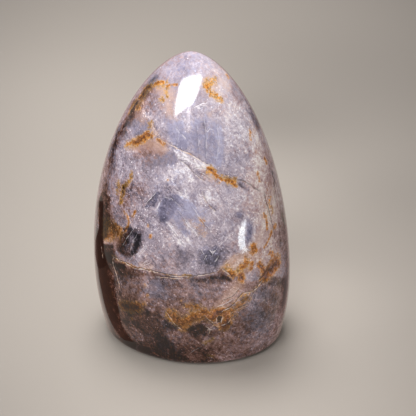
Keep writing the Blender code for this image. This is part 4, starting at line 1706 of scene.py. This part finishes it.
# %% [markdown]
# # The polish
# Finer and finer powders grind quartz to a gloss like water. The reflections come from its
# refractive index alone, with no coat over them, and only rust and crackled quartz stay duller.

# %% Polish
POLISH_ROUGHNESS = 0.06
DULL_ROUGHNESS = 0.15
RUST_DULLNESS = 0.4
QUARTZ_INDEX = 1.54
dullness = nodes.math("MAXIMUM", net, nodes.times(rust_cover, RUST_DULLNESS))
roughness = nodes.sum(POLISH_ROUGHNESS, nodes.times(dullness, DULL_ROUGHNESS))
nodes.give(shader.inputs["IOR"], QUARTZ_INDEX)
nodes.give(shader.inputs["Base Color"], colour)
nodes.give(shader.inputs["Roughness"], roughness)
mesh.materials.append(quartz)
print("roughness of the polish:", POLISH_ROUGHNESS, "links of the quartz:", len(quartz_tree.links))

# %% [markdown]
# # The floor
# The stone stands on a plain matt floor. In a small studio the floor is bright around the object
# and dim behind it, and no lamp lights it evenly. Lamps could be moved until they fall like that, but
# it is easier to paint the pool of light on one flat square: a bell curve that widens to the back,
# and a few broad patches of painted light and painted shadow, among them painted shadows before the
# right foot and behind the tip.

# %% Square of the floor
FLOOR_HALF_SIDE = 6.0
FLOOR_SIGNS = ((-1, -1), (1, -1), (1, 1), (-1, 1))
floor_corners = [(x * FLOOR_HALF_SIDE, y * FLOOR_HALF_SIDE, 0.0) for x, y in FLOOR_SIGNS]
floor_mesh = bpy.data.meshes.new("floor")
floor_mesh.from_pydata(floor_corners, [], [range(len(floor_corners))])
floor = new_object("floor", floor_mesh)
print("the floor's side, in m:", 2.0 * FLOOR_HALF_SIDE)

# %% Pool of light on the floor, in metres
POOL_SHIFT = 0.008
POOL_HALF_BREADTH = 0.185
POOL_WIDENING = 0.25
LEAST_BREADTH = 0.12
POOL_LENGTH = 0.92
DIM_FLOOR = (0.020, 0.018, 0.018, 1.0)
BRIGHT_FLOOR = (0.392, 0.354, 0.318, 1.0)
plain_matt, floor_shader = new_material("floor")
paint = Wiring(plain_matt.node_tree)
floor_place = paint.node("ShaderNodeTexCoord", {}).outputs["Object"]
floor_x, floor_y, _ = paint.parts(floor_place)
breadth = paint.sum(paint.times(floor_y, POOL_WIDENING), POOL_HALF_BREADTH)
breadth = paint.math("MAXIMUM", breadth, LEAST_BREADTH)
spread_x = paint.math("DIVIDE", paint.sum(floor_x, POOL_SHIFT), breadth)
spread_y = paint.math("DIVIDE", floor_y, POOL_LENGTH)
spread = paint.sum(paint.times(spread_x, spread_x), paint.times(spread_y, spread_y))
pool = paint.math("EXPONENT", paint.times(spread, -1.0))
floor_colour = paint.tint(pool, DIM_FLOOR, BRIGHT_FLOOR)
print("half the breadth of the pool of light, in m:", POOL_HALF_BREADTH)

# %% Painted light and painted shadow on the floor: place and radius in millimetres, and change
PAINTED_FLOOR_LIGHT_AND_SHADE = {
    "light behind the right shoulder": (52.0, 27.0, 28.0, 0.23),
    "shade before the right foot": (26.0, -28.0, 16.0, -0.20),
    "corner before the left": (-85.0, -75.0, 60.0, -0.16),
    "shade behind the tip": (38.0, 205.0, 45.0, -0.14),
    "dim far right": (70.0, 270.0, 110.0, -0.20),
    "dim right": (98.0, 112.0, 40.0, -0.10),
    "light behind": (52.0, 112.0, 50.0, 0.09),
    "light far left": (-74.0, 250.0, 90.0, 0.09),
}
FLOOR_ROUGHNESS = 0.9
FLOOR_SHINE = 0.1
painted_floor_light = 1.0
for patch_x, patch_y, radius, change in PAINTED_FLOOR_LIGHT_AND_SHADE.values():
    centre = (patch_x * MM, patch_y * MM, 0.0)
    apart = paint.node("ShaderNodeVectorMath", {0: floor_place, 1: centre}, operation="DISTANCE")
    share = paint.math("DIVIDE", apart.outputs["Value"], radius * MM)
    falloff = paint.math("EXPONENT", paint.times(share, share, -1.0))
    painted_floor_light = paint.sum(painted_floor_light, paint.times(falloff, change))
floor_colour = paint.tint(1.0, floor_colour, painted_floor_light, "MULTIPLY")
paint.give(floor_shader.inputs["Base Color"], floor_colour)
paint.give(floor_shader.inputs["Roughness"], FLOOR_ROUGHNESS)
paint.give(floor_shader.inputs["Specular IOR Level"], FLOOR_SHINE)
floor_mesh.materials.append(plain_matt)
print("patches of the floor:", len(PAINTED_FLOOR_LIGHT_AND_SHADE))

# %% [markdown]
# # What the polish mirrors
# A polished stone is seen as much by what it mirrors as by its colour. Here those are two lit
# windows, and the dark surroundings that blacken its edges. Each is a flat panel that only
# reflections see. Where it has to stand is worked out from the picture: a ray runs from the camera
# to the skin at each corner of the gloss, is mirrored there, and meets the panel's plane.


# %% Directions and glowing materials
BLACK = (0.0, 0.0, 0.0, 1.0)


def direction(azimuth, elevation):
    """Unit vector towards a light, its angles in degrees: azimuth 0 is the camera's side, and
    positive angles lie to its right."""
    turn = math.radians(azimuth)
    rise = math.radians(elevation)
    level = math.cos(rise)
    return np.array([level * math.sin(turn), -level * math.cos(turn), math.sin(rise)])


def glow(name, colour, strength):
    """Material that gives off an even light and mirrors nothing."""
    material, shader = new_material(name)
    shader.inputs["Base Color"].default_value = BLACK
    shader.inputs["Specular IOR Level"].default_value = 0.0
    shader.inputs["Emission Color"].default_value = (*colour, 1.0)
    shader.inputs["Emission Strength"].default_value = strength
    return material


UPWARDS = direction(0.0, 90.0)
print("a direction straight up:", np.round(UPWARDS, 3))


# %% Panels that show as reflections
def mirrored_on(pixel, anchor, way):
    """Place on a plane whose reflection shows at a pixel: the ray d from the camera leaves the skin
    as d - 2 (d . n) n and runs on to the plane through the anchor that faces the way."""
    start = front.place(pixel)
    normal = front.normal(pixel)
    ray = (start - camera_place) / np.linalg.norm(start - camera_place)
    bounce = ray - 2.0 * (ray @ normal) * normal
    return start + ((anchor - start) @ way) / (bounce @ way) * bounce


def reflected_panel(name, outline, anchor, way, colour, strength):
    """Flat panel that only reflections see, with the outline in pixels that its reflection shows."""
    corners = [tuple(mirrored_on(pixel, anchor, way) * MM) for pixel in outline]
    data = bpy.data.meshes.new(name)
    data.from_pydata(corners, [], [tuple(range(len(corners)))])
    data.materials.append(glow(name, colour, strength))
    panel = new_object(name, data)
    panel.visible_camera = False
    panel.visible_diffuse = False
    panel.visible_shadow = False
    print(name, "has", len(corners), "corners")


SOFT_EDGE = 1.10
EDGE_SETBACK = 1.01
EDGE_COLOUR = (0.82, 0.96, 1.0)
EDGE_SHARE = 0.32


def soft_reflection(name, outline, anchor, distance, way, colour, strength):
    """A bright panel at a distance from the anchor, and behind it a wider and dimmer one, so that
    its reflection has a soft edge."""
    outline = np.asarray(outline, float)
    middle = outline.mean(axis=0)
    wider = middle + SOFT_EDGE * (outline - middle)
    edge_anchor = anchor + EDGE_SETBACK * distance * way
    reflected_panel(name, outline, anchor + distance * way, way, colour, strength)
    reflected_panel(name + "_edge", wider, edge_anchor, way, EDGE_COLOUR, EDGE_SHARE * strength)


# %% The great gloss with its arm
GLOSS_OUTLINE = [
    (181, 82), (183, 79), (187, 77), (193, 76), (200.5, 76), (201.6, 78), (200.6, 84), (198.4, 91),
    (196, 98), (193, 103), (189.5, 106), (184.5, 109), (180, 112.5), (175, 116), (175, 109),
    (176.4, 99), (178.4, 90),
]
ARM_OUTLINE = [(186, 107), (190.5, 106), (190.6, 114), (189.4, 123), (187, 124), (187.4, 114)]
STONE_MIDDLE = np.array([0.0, 0.0, 60.0])
FAR_WINDOW = 700.0
WINDOW_COLOUR = (1.0, 1.0, 1.0)
WINDOW_STRENGTH = 16.0
ARM_COLOUR = (1.0, 0.97, 1.0)
ARM_STRENGTH = 6.0
window_way = direction(-25.0, 49.0)
arm_anchor = STONE_MIDDLE + FAR_WINDOW * window_way
soft_reflection("softbox_window", GLOSS_OUTLINE, STONE_MIDDLE, FAR_WINDOW, window_way,
                WINDOW_COLOUR, WINDOW_STRENGTH)
reflected_panel("softbox_arm", ARM_OUTLINE, arm_anchor, window_way, ARM_COLOUR, ARM_STRENGTH)

# %% The small gloss
SMALL_GLOSS_OUTLINE = [
    (245.6, 220.5), (245.4, 227), (244.8, 234), (244.6, 241), (245.6, 246.5), (247.6, 249.4),
    (246.6, 251.6), (244.4, 250.4), (242.6, 251.8), (240, 249.4), (238.4, 243), (238.2, 236),
    (240, 229), (242.4, 223.6),
]
SMALL_GLOSS_PLACE = np.array([19.6, -27.3, 59.4])
NEAR_WINDOW = 150.0
SIDE_COLOUR = (0.86, 0.97, 1.0)
SIDE_STRENGTH = 10.0
side_way = direction(45.0, -13.0)
soft_reflection("side_window", SMALL_GLOSS_OUTLINE, SMALL_GLOSS_PLACE, NEAR_WINDOW, side_way,
                SIDE_COLOUR, SIDE_STRENGTH)

# %% Dark cards on the floor beside the stone, with their colours
CARDS = {
    "dark_card": ((0.11, 0.055, 0.045), [
        (99.4, 200), (103.5, 201), (103.5, 222), (103.5, 240), (104.5, 252), (108, 264), (98, 268),
        (95.4, 254), (95.4, 240), (98.8, 228)]),
    "brown_card": ((0.22, 0.12, 0.095), [
        (98, 268), (108, 264), (114, 275), (117, 300), (122, 325), (134, 342), (124, 340), (114, 328),
        (107, 312), (101.5, 290)]),
    "right_card": ((0.34, 0.26, 0.25), [
        (282, 222), (286, 224), (288.4, 250), (288.2, 280), (285.6, 306), (279, 326), (266, 342),
        (262, 338), (273, 322), (279, 304), (281.6, 280), (282, 250)]),
}
CARD_LEVEL = np.array([0.0, 0.0, 2.0])
CARD_STRENGTH = 1.0
for name, (card_colour, outline) in CARDS.items():
    reflected_panel(name, outline, CARD_LEVEL, UPWARDS, card_colour, CARD_STRENGTH)

# %% [markdown]
# # The lamps
# The light that the picture shows is soft: it comes from above and a little from behind, with a wide
# fill from the front left. Both lamps are broad rectangles, and neither shows in the polish, because
# the panels above already stand for what the stone mirrors.

# %% Lamps
LAMP_TARGET = Vector((0.0, 0.0, 0.06))
LAMP_DISTANCE = 0.9


def area_light(name, azimuth, elevation, side, radiance):
    """Square lamp at a direction seen from the stone: its power is pi * side^2 * radiance."""
    data = bpy.data.lights.new(name, "AREA")
    data.size = side
    data.energy = radiance * math.pi * side ** 2
    light = new_object(name, data)
    way = Vector(direction(azimuth, elevation))
    light.location = LAMP_TARGET + way * LAMP_DISTANCE
    light.rotation_euler = way.to_track_quat("Z", "Y").to_euler()
    light.visible_glossy = False
    light.visible_camera = False
    print(name, "gives, in W:", round(data.energy, 2))


area_light("overhead", azimuth=-160, elevation=75, side=0.44, radiance=12.5)
area_light("front_fill", azimuth=-30, elevation=40, side=0.62, radiance=4.6)

# %% Light of the room
ROOM_COLOUR = (0.8, 0.78, 0.76, 1)
ROOM_STRENGTH = 0.55
room = bpy.data.worlds.new("room")
room.use_nodes = True
background = room.node_tree.nodes["Background"]
background.inputs["Color"].default_value = ROOM_COLOUR
background.inputs["Strength"].default_value = ROOM_STRENGTH
bpy.context.scene.world = room
bpy.context.scene.view_settings.view_transform = "Standard"
print("light of the room:", ROOM_STRENGTH)
